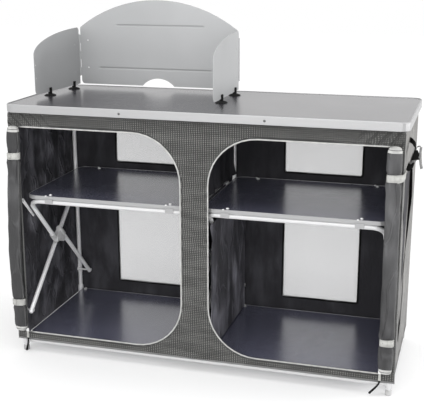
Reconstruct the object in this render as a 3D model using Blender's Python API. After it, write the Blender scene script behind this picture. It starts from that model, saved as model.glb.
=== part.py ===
# Folding camp kitchen: worktop with wind shield on a scissor frame, with fabric covers and
# four shelves. Metres, +Z up, front towards -Y, origin under the middle of the outer box.

import math

import bmesh
import bpy
from mathutils import Matrix, Vector

MM = 0.001

# Running clearances
GAP = 0.3 * MM
PLAY = 1.5 * MM
OVERRUN = 20 * MM
WELD = 0.003 * MM
SMOOTH_ANGLE = math.radians(35)

# Worktop
TOP_WIDTH = 1200 * MM
TOP_DEPTH = 460 * MM
TOP_HEIGHT = 800 * MM
TOP_CORNER = 30 * MM
TOP_RIM_HEIGHT = 25 * MM
TOP_RIM_FLANGE = 13 * MM
TOP_RIM_LIP = 4 * MM
TOP_RIM_ROUND = 1.5 * MM
TOP_BOARD_THICK = 12 * MM
TOP_BOARD_SINK = 1.2 * MM
TOP_CLAMP_X = 216 * MM
TOP_CLAMP_WIDTH = 34 * MM
TOP_CLAMP_LAP = 5.5 * MM

# Posts, rails and feet
TUBE_RADIUS = 7 * MM
POST_X = 578 * MM
POST_Y = 213 * MM
POST_HEADROOM = 5 * MM
FOOT_RADIUS = 9 * MM
FOOT_HEIGHT = 16 * MM
FOOT_RING_SHARES = ((0.86, 0.0), (1.0, 0.1), (1.0, 0.7), (0.8, 1.0))
SLEEVE_RADIUS = 9.5 * MM
SLEEVE_HEIGHT = 32 * MM
BOTTOM_SLEEVE_LOW = 22 * MM
BOTTOM_SLEEVE_HIGH = 70 * MM
TOP_RAIL_DROP = 19 * MM
BOTTOM_RAIL_RADIUS = 6 * MM
BOTTOM_RAIL_HEIGHT = 34 * MM

# Scissor arms
LOW_PIVOT_Y = 205 * MM
LOW_PIVOT_HEIGHT = 135 * MM
CROSSBAR_Y = 203 * MM
OUTER_ARM_X = 558 * MM
FRONT_ARM_X = 545 * MM
OUTER_STEP_X = 540 * MM
INNER_ARM_X = TUBE_RADIUS * 2 + PLAY
INNER_STEP_X = 33 * MM
OUTER_BEND = 26 * MM
FRONT_BEND = 36 * MM
INNER_BEND = 18 * MM
UPPER_STUB_Y = -38 * MM
UPPER_STUB_RISE = 7.8 * MM
LOWER_LEG_Y = -12 * MM
LOWER_LEG_RISE = 32.8 * MM
ARM_END = 8 * MM
PIN_RADIUS = 3 * MM
PIN_HEAD_RADIUS = 5.5 * MM
PIN_HEAD = 1.2 * MM
BLOCK_SOCKET = 30 * MM
BLOCK_WALL = 2.6 * MM
BLOCK_BOSS = 11 * MM
BLOCK_STEP = 0.7 * MM
LUG_HALF = 14 * MM
LUG_RADIUS = 7.5 * MM
LUG_COLLAR = 8 * MM

# Stay links
STAY_RISE = 2.3 * MM
STAY_THICK = 2 * MM
STAY_HEAD = 1 * MM
STAY_LENGTH = 91 * MM
STAY_WIDE = 6 * MM
STAY_NARROW = 3.5 * MM
STAY_DROP = math.radians(46)

# Mid shelves and bottom shelves
SHELF_TOP = 517 * MM
SHELF_INNER_X = 10 * MM
SHELF_OUTER_X = 556 * MM
SHELF_HALF_DEPTH = 208 * MM
SHELF_CORNER = 34 * MM
SHELF_RIM_HEIGHT = 12 * MM
SHELF_RIM_FLANGE = 11 * MM
SHELF_RIM_LIP = 2 * MM
SHELF_RIM_ROUND = 0.8 * MM
SHELF_BOARD_THICK = 8 * MM
SHELF_BOARD_SINK = 0.6 * MM
BOTTOM_SHELF_TOP = 62 * MM
BOTTOM_SHELF_INNER_X = 30 * MM
BOTTOM_SHELF_OUTER_X = 566 * MM
BOTTOM_SHELF_CORNER = 16 * MM
CLIP_INNER_X = 85 * MM
CLIP_OUTER_X = 475 * MM
CLIP_WIDTH = 26 * MM
CLIP_WALL = 3.2 * MM
CLIP_REACH = 3 * MM
CLIP_ROOT = 24 * MM
PAD_WIDTH = 30 * MM
PAD_HEIGHT = 11 * MM

# Covers
FABRIC = 1.5 * MM
MESH_THICK = 0.8 * MM
COVER_LOW = 42 * MM
COVER_TOP_GAP = 0.6 * MM
DOOR_LOW = 71 * MM
DOOR_DROP = 43.4 * MM
DOOR_INNER_X = 45 * MM
DOOR_OUTER_X = 557 * MM
DOOR_ROUND = 145 * MM
DOOR_SHARP = 4 * MM
ZIP_WIDTH = 5 * MM
ZIP_PROUD = 1.2 * MM
WINDOW_INNER_X = 173 * MM
WINDOW_OUTER_X = 423 * MM
WINDOW_LOW = 105 * MM
WINDOW_LOW_TOP = 470 * MM
WINDOW_HIGH = 541 * MM
WINDOW_DROP = 62.4 * MM
WINDOW_CORNER = 12 * MM
WINDOW_SEAM = 12 * MM
DIVIDER_SLEEVE_X = 42.5 * MM
DIVIDER_SLEEVE_TOP = 470 * MM
DIVIDER_SLEEVE_LOW = 66 * MM
DIVIDER_EDGE = 10 * MM
DIVIDER_FOLD = 2.5 * MM
DIVIDER_FOLDS = 5
POCKET_PROUD = 9.5 * MM
POCKET_DROP = 119.4 * MM
POCKET_LOW = 120 * MM
POCKET_FRONT = 20 * MM
POCKET_SLANT = 105 * MM
POCKET_REAR = 214 * MM
POCKET_ROUND = 20 * MM

# Door rolls, straps and zip pulls
ROLL_X = 569 * MM
ROLL_HALF_WIDTH = 22 * MM
ROLL_HALF_DEPTH = 13 * MM
ROLL_STANDOFF = 0.1 * MM
ROLL_DROP = 42.4 * MM
ROLL_LOW = 76 * MM
ROLL_LEAN_LEFT = 8 * MM
ROLL_LEAN_RIGHT = 3 * MM
ROLL_LEAN_SHARE = 0.27
ROLL_TIP_SHARE = 0.62
ROLL_CINCH_SHARE = 0.86
ROLL_RING_SHARES = (0.15, 0.4, 1.0)
ROLL_LONG_SHARES = (0.25, 0.5, 0.75)
ROLL_TAPER = 34 * MM
ROLL_CINCH = 20 * MM
STRAP_DROP = 82 * MM
STRAP_LOW = 174 * MM
STRAP_WIDTH = 22 * MM
STRAP_THICK = 1.4 * MM
PULL_X = 552 * MM
PULL_TOP = 72 * MM
PULL_LENGTH = 24 * MM
PULL_WIDTH = 8 * MM
PULL_THICK = 2.4 * MM
CORD_RADIUS = 1.2 * MM
CORD_ROUTE_LEFT = ((0.0, 0.0, 0.0), (-1.0, -0.5, -7.0), (-4.0, -1.5, -16.0), (-9.0, -2.5, -27.0),
                   (-14.0, -3.0, -36.0), (-16.0, -3.0, -41.0))
CORD_ROUTE_RIGHT = ((0.0, 0.0, 0.0), (-1.0, -0.5, -7.0), (-6.0, -1.5, -15.0), (-14.0, -2.5, -25.0),
                    (-22.0, -3.0, -34.0), (-27.0, -3.0, -40.0))
CORD_POINTS = 20

# Wind shield
SHEET = 1.2 * MM
SHIELD_Y = 182 * MM
SHIELD_LEFT = -530 * MM
SHIELD_RIGHT = 22 * MM
SHIELD_STANDOFF = 11 * MM
SHIELD_SHOULDER_RISE = 187 * MM
SHIELD_PEAK_RISE = 278 * MM
SHIELD_EDGE = 8 * MM
SHIELD_CORNER = 12 * MM
ARCH_CENTRE_X = -252 * MM
ARCH_WIDTH = 110 * MM
ARCH_HEIGHT = 25 * MM
WING_LENGTH = 295 * MM
WING_FRONT_RISE = 124 * MM
WING_CORNER = 16 * MM
WING_SPLAY = math.radians(4)
KNUCKLE_RADIUS = 3 * MM
KNUCKLE_WALL = 1.4 * MM
KNUCKLE_RISE = 27 * MM
KNUCKLE_RUN = 135 * MM
KNUCKLES = 5
HOLE_RADIUS = 1.8 * MM
HOLE_INSET = 31 * MM
BACK_HOLES_LOW = 55 * MM
BACK_HOLES_HIGH = 145 * MM
WING_HOLES_NEAR = 33 * MM
WING_HOLES_LOW = 42 * MM
WING_HOLES_HIGH = 132 * MM
WING_HOLES_FAR = 286 * MM
TIP_HOLES_LOW = 51 * MM
TIP_HOLES_HIGH = 92 * MM
CUP_RADIUS = 19 * MM
CUP_HEIGHT = 6 * MM
CUP_NECK = 7 * MM
CUP_GRIP_RADIUS = 6.5 * MM
CUP_GRIP_HEIGHT = 25 * MM
CUP_RING_SHARES = ((1.0, 0.0), (1.0, 0.2), (0.78, 0.6))
CUP_FRONT = 206 * MM
CUP_REAR = 50 * MM

# Facet counts
TUBE_SIDES = 12
BEND_STEPS = 5
CORNER_STEPS = 5
ARC_STEPS = 16

# Heights and planes that follow from the sizes above
RIM_BOTTOM = TOP_HEIGHT - TOP_RIM_HEIGHT
BOARD_TOP = TOP_HEIGHT - TOP_BOARD_SINK
BOARD_BOTTOM = BOARD_TOP - TOP_BOARD_THICK
POST_TOP = RIM_BOTTOM - POST_HEADROOM
TOP_RAIL_HEIGHT = RIM_BOTTOM - TOP_RAIL_DROP
SHELF_BOTTOM = SHELF_TOP - SHELF_RIM_HEIGHT
CROSSBAR_HEIGHT = SHELF_BOTTOM - GAP - TUBE_RADIUS
BORE_RADIUS = TUBE_RADIUS + GAP
COVER_Y = POST_Y + SLEEVE_RADIUS + GAP
WALL_X = POST_X + SLEEVE_RADIUS + GAP
COVER_TOP = RIM_BOTTOM - COVER_TOP_GAP
ARM_RUN = LOW_PIVOT_Y + CROSSBAR_Y
ARM_RISE = CROSSBAR_HEIGHT - LOW_PIVOT_HEIGHT
CROSSING_HEIGHT = LOW_PIVOT_HEIGHT + ARM_RISE * LOW_PIVOT_Y / ARM_RUN
UPPER_STUB_HEIGHT = CROSSING_HEIGHT + UPPER_STUB_RISE
LOWER_LEG_HEIGHT = CROSSING_HEIGHT + LOWER_LEG_RISE
STAY_HEIGHT = CROSSBAR_HEIGHT + STAY_RISE
STAY_X = (POST_X + FRONT_ARM_X) / 2
DOOR_HIGH = COVER_TOP - DOOR_DROP
WINDOW_HIGH_TOP = COVER_TOP - WINDOW_DROP
POCKET_TOP = COVER_TOP - POCKET_DROP
ROLL_TOP = COVER_TOP - ROLL_DROP
STRAP_HIGH = ROLL_TOP - STRAP_DROP
SHIELD_LOW = TOP_HEIGHT + SHIELD_STANDOFF
SHIELD_SHOULDER = SHIELD_LOW + SHIELD_SHOULDER_RISE
SHIELD_PEAK = SHIELD_LOW + SHIELD_PEAK_RISE
WING_FRONT_HEIGHT = SHIELD_LOW + WING_FRONT_RISE
KNUCKLE_LOW = SHIELD_LOW + KNUCKLE_RISE
KNUCKLE_HIGH = KNUCKLE_LOW + KNUCKLE_RUN
ROLL_Y = COVER_Y + FABRIC + ZIP_PROUD + ROLL_STANDOFF + ROLL_HALF_DEPTH


def clear_scene():
    for item in list(bpy.data.objects):
        bpy.data.objects.remove(item)


def material(name, colour, roughness, metallic=0.0):
    result = bpy.data.materials.new(name)
    result.use_nodes = True
    shader = result.node_tree.nodes["Principled BSDF"]
    shader.inputs["Base Color"].default_value = (*colour, 1.0)
    shader.inputs["Roughness"].default_value = roughness
    shader.inputs["Metallic"].default_value = metallic
    result.diffuse_color = (*colour, 1.0)
    return result


def make_materials():
    return {
        "tube": material("satin aluminium tube", (0.66, 0.67, 0.68), 0.35, 1.0),
        "rim": material("anodised rim", (0.85, 0.85, 0.85), 0.35, 0.9),
        "worktop": material("grey laminate", (0.15, 0.15, 0.16), 0.2),
        "shelf": material("anthracite laminate", (0.03, 0.03, 0.045), 0.2),
        "cover": material("ribbed grey fabric", (0.12, 0.12, 0.12), 0.9),
        "lining": material("black lining", (0.02, 0.02, 0.022), 0.9),
        "net": material("pale window mesh", (0.75, 0.76, 0.78), 0.8),
        "door": material("smooth grey fabric", (0.1, 0.1, 0.1), 0.8),
        "webbing": material("light webbing", (0.6, 0.6, 0.58), 0.8),
        "block": material("light grey plastic", (0.5, 0.5, 0.5), 0.5),
        "black": material("black plastic", (0.01, 0.01, 0.01), 0.45),
        "sheet": material("painted sheet", (0.35, 0.35, 0.36), 0.4, 0.3),
    }


# Mesh building

def new_object(name, bm, finish, smooth=True):
    bmesh.ops.remove_doubles(bm, verts=bm.verts, dist=WELD)
    bmesh.ops.recalc_face_normals(bm, faces=bm.faces)
    mesh = bpy.data.meshes.new(name)
    bm.to_mesh(mesh)
    bm.free()
    mesh.materials.append(finish)
    if smooth:
        mesh.shade_smooth()
        mesh.set_sharp_from_angle(angle=SMOOTH_ANGLE)
    result = bpy.data.objects.new(name, mesh)
    bpy.context.collection.objects.link(result)
    return result


def loft(name, rings, finish, closed=False, smooth=True):
    """Skin a row of equal rings of points; an open row gets flat ends."""
    bm = bmesh.new()
    rows = [[bm.verts.new(point) for point in ring] for ring in rings]
    pairs = list(zip(rows, rows[1:]))
    if closed:
        pairs.append((rows[-1], rows[0]))
    for near, far in pairs:
        for index in range(len(near)):
            after = (index + 1) % len(near)
            bm.faces.new((near[index], near[after], far[after], far[index]))
    if not closed:
        bm.faces.new(rows[0])
        bm.faces.new(rows[-1])
    return new_object(name, bm, finish, smooth)


def place(axis, across, up, along):
    """A point of an outline drawn square to one world axis."""
    if axis == "X":
        return Vector((along, across, up))
    if axis == "Y":
        return Vector((across, along, up))
    return Vector((across, up, along))


def prism(name, outline, axis, low, high, finish, smooth=False):
    rings = [[place(axis, across, up, along) for across, up in outline] for along in (low, high)]
    return loft(name, rings, finish, smooth=smooth)


def box(name, low, high, finish):
    outline = ((low[0], low[1]), (high[0], low[1]), (high[0], high[1]), (low[0], high[1]))
    return prism(name, outline, "Z", low[2], high[2], finish)


def arc(centre, radius, start, end, steps):
    points = []
    for step in range(steps + 1):
        angle = start + (end - start) * step / steps
        points.append((centre[0] + radius * math.cos(angle), centre[1] + radius * math.sin(angle)))
    return points


def rounded(low, high, radii, steps=CORNER_STEPS):
    """A rectangle with its own radius at each corner: low-low, high-low, high-high, low-high."""
    corners = ((low[0], low[1], 1, 1), (high[0], low[1], -1, 1),
               (high[0], high[1], -1, -1), (low[0], high[1], 1, -1))
    points = []
    for index, (across, up, inward, rise) in enumerate(corners):
        radius = radii[index]
        centre = (across + inward * radius, up + rise * radius)
        start = math.pi + index * math.pi / 2
        points += arc(centre, radius, start, start + math.pi / 2, steps)
    return points


def combine(target, tool, operation):
    """Apply one exact boolean and throw the tool away."""
    step = target.modifiers.new("cut", "BOOLEAN")
    step.operation = operation
    step.object = tool
    step.solver = "EXACT"
    bpy.context.view_layer.update()
    graph = bpy.context.evaluated_depsgraph_get()
    mesh = bpy.data.meshes.new_from_object(target.evaluated_get(graph))
    target.modifiers.clear()
    target.data = mesh
    bpy.data.objects.remove(tool)
    return target


def cut(target, tool):
    return combine(target, tool, "DIFFERENCE")


def join(target, tool):
    return combine(target, tool, "UNION")


def ring_round(centre, along, radius, sides):
    square = along.cross(Vector((1, 0, 0)))
    side = (square if square.length > WELD else along.orthogonal()).normalized()
    other = along.cross(side).normalized()
    points = []
    for index in range(sides):
        angle = math.tau * index / sides
        points.append(centre + side * radius * math.cos(angle) + other * radius * math.sin(angle))
    return points


def rod(name, start, end, radius, finish, sides=TUBE_SIDES):
    start, end = Vector(start), Vector(end)
    along = (end - start).normalized()
    rings = [ring_round(point, along, radius, sides) for point in (start, end)]
    return loft(name, rings, finish)


def bent_path(corners, bends):
    """Straight runs between corners, with each inner corner rounded to its bend radius."""
    points = [Vector(corners[0])]
    for index in range(1, len(corners) - 1):
        corner = Vector(corners[index])
        back = (Vector(corners[index - 1]) - corner).normalized()
        ahead = (Vector(corners[index + 1]) - corner).normalized()
        turn = math.pi - back.angle(ahead)
        trim = bends[index - 1] * math.tan(turn / 2)
        centre = corner + (back + ahead).normalized() * (bends[index - 1] / math.cos(turn / 2))
        first = corner + back * trim - centre
        axis = (-back).cross(ahead).normalized()
        for step in range(BEND_STEPS + 1):
            points.append(centre + Matrix.Rotation(turn * step / BEND_STEPS, 3, axis) @ first)
    points.append(Vector(corners[-1]))
    return points


def tube(name, path, radius, finish, sides=TUBE_SIDES, round_ends=True):
    """A tube along a path, its frame carried along without twist, its ends domed."""
    count = len(path)
    tangents = []
    for index in range(count):
        before = path[max(index - 1, 0)]
        after = path[min(index + 1, count - 1)]
        tangents.append((after - before).normalized())
    side = tangents[0].orthogonal().normalized()
    rings = []
    for index in range(count):
        if index:
            turn = tangents[index - 1].rotation_difference(tangents[index])
            side = turn @ side
        other = tangents[index].cross(side).normalized()
        ring = []
        for corner in range(sides):
            angle = math.tau * corner / sides
            ring.append(path[index] + (side * math.cos(angle) + other * math.sin(angle)) * radius)
        rings.append(ring)
    if round_ends:
        rings = domed(rings, path, tangents, radius)
    return loft(name, rings, finish)


def domed(rings, path, tangents, radius):
    """Add two shrinking rings at each end, as a pressed plug has."""
    dome_shares = ((0.18, 0.94), (0.34, 0.7))
    first, last = [], []
    for rise, shrink in dome_shares:
        start = path[0] - tangents[0] * radius * rise
        first.append([start + (point - path[0]) * shrink for point in rings[0]])
        end = path[-1] + tangents[-1] * radius * rise
        last.append([end + (point - path[-1]) * shrink for point in rings[-1]])
    return first[::-1] + rings + last


def edge_ring(name, low, high, corner, section, finish):
    """Sweep a section, given as inset and height, round a rectangle with round corners."""
    rings = []
    corners = ((low[0], low[1], 1, 1), (high[0], low[1], -1, 1),
               (high[0], high[1], -1, -1), (low[0], high[1], 1, -1))
    for index, (across, up, inward, rise) in enumerate(corners):
        centre = (across + inward * corner, up + rise * corner)
        for step in range(CORNER_STEPS + 1):
            angle = math.pi + index * math.pi / 2 + math.pi / 2 * step / CORNER_STEPS
            ring = []
            for inset, height in section:
                reach = corner - inset
                ring.append((centre[0] + reach * math.cos(angle),
                             centre[1] + reach * math.sin(angle), height))
            rings.append(ring)
    return loft(name, rings, finish, closed=True)


def mirrored(points, side):
    """Outline points moved to the left or right half."""
    return [(across * side, up) for across, up in points]


# Rigid frame

def sleeve(post_x, post_y, low, high, finish, radius=SLEEVE_RADIUS):
    return rod("sleeve", (post_x, post_y, low), (post_x, post_y, high), radius, finish)


def post(name, post_x, post_y, has_foot, finish):
    low = FOOT_HEIGHT / 2 if has_foot else BOTTOM_RAIL_HEIGHT + BOTTOM_RAIL_RADIUS + GAP
    high = POST_TOP if has_foot else TOP_RAIL_HEIGHT - TUBE_RADIUS - GAP
    result = rod(name, (post_x, post_y, low), (post_x, post_y, high), TUBE_RADIUS, finish)
    if has_foot:
        rings = []
        for share, rise in FOOT_RING_SHARES:
            centre = Vector((post_x, post_y, FOOT_HEIGHT * rise))
            rings.append(ring_round(centre, Vector((0, 0, 1)), FOOT_RADIUS * share, TUBE_SIDES))
        join(result, loft("foot", rings, finish))
    return result


def lug(post_x, post_y, pivot_y, finish):
    """The collar and ear on a post that carry a low pivot pin."""
    low, high = LOW_PIVOT_HEIGHT - LUG_HALF, LOW_PIVOT_HEIGHT + LUG_HALF
    result = sleeve(post_x, post_y, low, high, finish, LUG_COLLAR)
    ear_half = LUG_COLLAR / 2
    ear = prism("ear", arc((pivot_y, LOW_PIVOT_HEIGHT), LUG_RADIUS, 0, math.tau, TUBE_SIDES)[:-1],
                "X", post_x - ear_half, post_x + ear_half, finish)
    return join(result, ear)


def pivot_pin(inner_x, outer_x, pivot_y, height, head_x, finish):
    """A pin along X with a flat head past the arm that it holds."""
    result = rod("pin", (outer_x, pivot_y, height), (inner_x, pivot_y, height), PIN_RADIUS, finish)
    way = 1 if head_x > outer_x else -1
    head = rod("head", (head_x, pivot_y, height), (head_x + way * PIN_HEAD, pivot_y, height),
               PIN_HEAD_RADIUS, finish)
    return join(result, head)


def post_with_pivots(name, side, front, finish):
    """A corner post or, with side 0, a centre post, with the pins of its low pivots."""
    post_y = -POST_Y if front else POST_Y
    pivot_y = -LOW_PIVOT_Y if front else LOW_PIVOT_Y
    if side:
        result = post(name, side * POST_X, post_y, True, finish)
        join(result, lug(side * POST_X, post_y, pivot_y, finish))
        arm_x = OUTER_ARM_X if front else OUTER_STEP_X
        head_x = arm_x - TUBE_RADIUS - GAP
        join(result, pivot_pin(side * head_x, side * POST_X, pivot_y, LOW_PIVOT_HEIGHT,
                               side * head_x, finish))
        return result
    result = post(name, 0.0, post_y, False, finish)
    join(result, lug(0.0, post_y, pivot_y, finish))
    arm_x = INNER_ARM_X if front else INNER_STEP_X
    head_x = arm_x + TUBE_RADIUS + GAP
    for way in (-1, 1):
        join(result, pivot_pin(way * head_x, 0.0, pivot_y, LOW_PIVOT_HEIGHT, way * head_x, finish))
    return result


def top_rail(name, rail_y, finish):
    result = rod(name, (-POST_X, rail_y, TOP_RAIL_HEIGHT), (POST_X, rail_y, TOP_RAIL_HEIGHT),
                 TUBE_RADIUS, finish)
    high = RIM_BOTTOM - GAP
    for side in (-1, 1):
        post_x = side * POST_X
        join(result, sleeve(post_x, rail_y, high - SLEEVE_HEIGHT, high, finish))
        bore = rod("bore", (post_x, rail_y, high - SLEEVE_HEIGHT - OVERRUN),
                   (post_x, rail_y, POST_TOP + GAP), BORE_RADIUS, finish)
        cut(result, bore)
    return result


def bottom_rail(name, rail_y, finish):
    result = rod(name, (-POST_X, rail_y, BOTTOM_RAIL_HEIGHT), (POST_X, rail_y, BOTTOM_RAIL_HEIGHT),
                 BOTTOM_RAIL_RADIUS, finish)
    for side in (-1, 1):
        post_x = side * POST_X
        join(result, sleeve(post_x, rail_y, BOTTOM_SLEEVE_LOW, BOTTOM_SLEEVE_HIGH, finish))
        bore = rod("bore", (post_x, rail_y, BOTTOM_SLEEVE_LOW - OVERRUN),
                   (post_x, rail_y, BOTTOM_SLEEVE_HIGH + OVERRUN), BORE_RADIUS, finish)
        cut(result, bore)
    return result


# Scissor arms

def past(pivot, from_point, extra):
    """The end of an arm that runs a little way past its pivot."""
    pivot, from_point = Vector(pivot), Vector(from_point)
    return pivot + (pivot - from_point).normalized() * extra


def pin_hole(target, pivot_y, height, centre_x, finish):
    half = TUBE_RADIUS + OVERRUN / 2
    tool = rod("hole", (centre_x - half, pivot_y, height), (centre_x + half, pivot_y, height),
               PIN_RADIUS + GAP, finish)
    return cut(target, tool)


def rear_hoop(name, side, finish):
    low = (-LOW_PIVOT_Y, LOW_PIVOT_HEIGHT)
    outer_top = (side * OUTER_ARM_X, CROSSBAR_Y, CROSSBAR_HEIGHT)
    inner_top = (side * INNER_ARM_X, CROSSBAR_Y, CROSSBAR_HEIGHT)
    outer_end = past((side * OUTER_ARM_X, *low), outer_top, ARM_END)
    inner_end = past((side * INNER_ARM_X, *low), inner_top, ARM_END)
    path = bent_path((outer_end, outer_top, inner_top, inner_end), (OUTER_BEND, INNER_BEND))
    result = tube(name, path, TUBE_RADIUS, finish)
    for arm_x in (side * OUTER_ARM_X, side * INNER_ARM_X):
        pin_hole(result, -LOW_PIVOT_Y, LOW_PIVOT_HEIGHT, arm_x, finish)
        pin_hole(result, 0.0, CROSSING_HEIGHT, arm_x, finish)
    return result


def front_hoop(name, side, finish):
    outer_top = (side * FRONT_ARM_X, -CROSSBAR_Y, CROSSBAR_HEIGHT)
    inner_top = (side * INNER_STEP_X, -CROSSBAR_Y, CROSSBAR_HEIGHT)
    outer_end = (side * FRONT_ARM_X, UPPER_STUB_Y, UPPER_STUB_HEIGHT)
    inner_end = past((side * INNER_STEP_X, LOW_PIVOT_Y, LOW_PIVOT_HEIGHT), inner_top, ARM_END)
    path = bent_path((outer_end, outer_top, inner_top, inner_end), (FRONT_BEND, INNER_BEND))
    result = tube(name, path, TUBE_RADIUS, finish)
    pin_hole(result, LOW_PIVOT_Y, LOW_PIVOT_HEIGHT, side * INNER_STEP_X, finish)
    tip = side * (INNER_ARM_X - TUBE_RADIUS - GAP)
    pin = rod("pin", (side * INNER_STEP_X, 0.0, CROSSING_HEIGHT), (tip, 0.0, CROSSING_HEIGHT),
              PIN_RADIUS, finish)
    return join(result, pin)


def lower_leg(name, side, finish):
    top = Vector((side * OUTER_STEP_X, LOWER_LEG_Y, LOWER_LEG_HEIGHT))
    low = Vector((side * OUTER_STEP_X, LOW_PIVOT_Y, LOW_PIVOT_HEIGHT))
    result = tube(name, [top, past(low, top, ARM_END)], TUBE_RADIUS, finish)
    return pin_hole(result, LOW_PIVOT_Y, LOW_PIVOT_HEIGHT, side * OUTER_STEP_X, finish)


def pivot_block(name, side, finish):
    """A moulded block with a socket for each half of the outer front arm and a boss for the pivot."""
    stub = Vector((side * FRONT_ARM_X, UPPER_STUB_Y, UPPER_STUB_HEIGHT))
    hoop_top = Vector((side * FRONT_ARM_X, -CROSSBAR_Y, CROSSBAR_HEIGHT))
    leg = Vector((side * OUTER_STEP_X, LOWER_LEG_Y, LOWER_LEG_HEIGHT))
    leg_low = Vector((side * OUTER_STEP_X, LOW_PIVOT_Y, LOW_PIVOT_HEIGHT))
    reach = TUBE_RADIUS + BLOCK_WALL + GAP
    stub_way = (hoop_top - stub).normalized()
    leg_way = (leg_low - leg).normalized()
    result = rod(name, stub - stub_way * reach, stub + stub_way * BLOCK_SOCKET, reach, finish)
    join(result, rod("socket", leg - leg_way * reach, leg + leg_way * BLOCK_SOCKET, reach, finish))
    near, far = OUTER_ARM_X - TUBE_RADIUS - PLAY, OUTER_STEP_X - TUBE_RADIUS
    web = ((UPPER_STUB_Y - reach / 2, UPPER_STUB_HEIGHT - reach / 2),
           (BLOCK_BOSS / 2, CROSSING_HEIGHT - BLOCK_BOSS / 2), (BLOCK_BOSS / 2, CROSSING_HEIGHT),
           (LOWER_LEG_Y + reach / 2, LOWER_LEG_HEIGHT),
           (LOWER_LEG_Y - reach / 2, LOWER_LEG_HEIGHT + reach / 2),
           (UPPER_STUB_Y - reach / 2, UPPER_STUB_HEIGHT + reach))
    join(result, prism("web", web, "X", side * (far + BLOCK_STEP), side * (near - BLOCK_STEP), finish))
    boss = rod("boss", (side * far, 0.0, CROSSING_HEIGHT), (side * near, 0.0, CROSSING_HEIGHT),
               BLOCK_BOSS, finish, 2 * TUBE_SIDES)
    join(result, boss)
    tip = OUTER_ARM_X + TUBE_RADIUS + GAP
    join(result, pivot_pin(side * tip, side * far, 0.0, CROSSING_HEIGHT, side * tip, finish))
    cut(result, rod("bore", stub - stub_way * (TUBE_RADIUS + GAP), stub + stub_way * (BLOCK_SOCKET + OVERRUN),
                    BORE_RADIUS, finish))
    cut(result, rod("bore", leg - leg_way * (TUBE_RADIUS + GAP), leg + leg_way * (BLOCK_SOCKET + OVERRUN),
                    BORE_RADIUS, finish))
    return result


def stay_link(name, side, finish):
    """A flat tapered link, in its own plane between the post and the arms."""
    low, high = STAY_X - STAY_THICK / 2, STAY_X + STAY_THICK / 2
    along = Vector((math.cos(STAY_DROP), -math.sin(STAY_DROP)))
    tip = Vector((-POST_Y, STAY_HEIGHT)) + along * STAY_LENGTH
    turn = math.atan2(along.y, along.x)
    outline = arc((-POST_Y, STAY_HEIGHT), STAY_WIDE, turn + math.pi / 2, turn + math.pi * 1.5, CORNER_STEPS)
    outline += arc(tip, STAY_NARROW, turn - math.pi / 2, turn + math.pi / 2, CORNER_STEPS)
    result = prism(name, outline, "X", side * low, side * high, finish)
    hole = rod("hole", (side * (low - OVERRUN), -POST_Y, STAY_HEIGHT),
               (side * (high + OVERRUN), -POST_Y, STAY_HEIGHT), PIN_RADIUS + GAP, finish)
    return cut(result, hole)


def add_stay_pin(target, side, finish):
    tip = STAY_X - STAY_THICK / 2 - GAP
    pin = rod("pin", (side * POST_X, -POST_Y, STAY_HEIGHT), (side * tip, -POST_Y, STAY_HEIGHT),
              PIN_RADIUS, finish)
    head = rod("head", (side * tip, -POST_Y, STAY_HEIGHT), (side * (tip - STAY_HEAD), -POST_Y, STAY_HEIGHT),
               PIN_HEAD_RADIUS, finish)
    return join(target, join(pin, head))


# Boards and rims

def rim_section(top, height, flange, lip, edge, board_bottom):
    """A rim profile as inset and height: outer wall, lip and the flange under the board."""
    bottom = top - height
    ledge = board_bottom - GAP
    return ((edge, bottom), (0.0, bottom + edge), (0.0, top - edge), (edge, top),
            (lip, top), (lip, ledge), (flange, ledge), (flange, bottom))


def board(name, low, high, corner, inset, bottom, top, finish):
    edge = inset + GAP
    outline = rounded((low[0] + edge, low[1] + edge), (high[0] - edge, high[1] - edge), (corner - edge,) * 4)
    return prism(name, outline, "Z", bottom, top, finish)


def worktop(names, finishes):
    """The board in its rim; two saddles reach from the rim to the front rail and sit on it."""
    low, high = (-TOP_WIDTH / 2, -TOP_DEPTH / 2), (TOP_WIDTH / 2, TOP_DEPTH / 2)
    top_board = board(names[0], low, high, TOP_CORNER, TOP_RIM_LIP, BOARD_BOTTOM, BOARD_TOP,
                      finishes["worktop"])
    section = rim_section(TOP_HEIGHT, TOP_RIM_HEIGHT, TOP_RIM_FLANGE, TOP_RIM_LIP, TOP_RIM_ROUND,
                          BOARD_BOTTOM)
    rim = edge_ring(names[1], low, high, TOP_CORNER, section, finishes["rim"])
    half = TOP_CLAMP_WIDTH / 2
    flange_y = low[1] + TOP_RIM_FLANGE - TOP_CLAMP_LAP
    reach = (min(flange_y, -POST_Y - SLEEVE_RADIUS), max(flange_y, -POST_Y + SLEEVE_RADIUS))
    for place_x in (-TOP_CLAMP_X, TOP_CLAMP_X):
        clamp = box("clamp", (place_x - half, reach[0], TOP_RAIL_HEIGHT + TUBE_RADIUS / 2),
                    (place_x + half, reach[1], BOARD_BOTTOM - GAP), finishes["rim"])
        ends = (place_x - half - OVERRUN, place_x + half + OVERRUN)
        cut(clamp, rod("rail", (ends[0], -POST_Y, TOP_RAIL_HEIGHT), (ends[1], -POST_Y, TOP_RAIL_HEIGHT),
                       BORE_RADIUS, finishes["rim"]))
        join(rim, clamp)
    return top_board, rim


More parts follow.
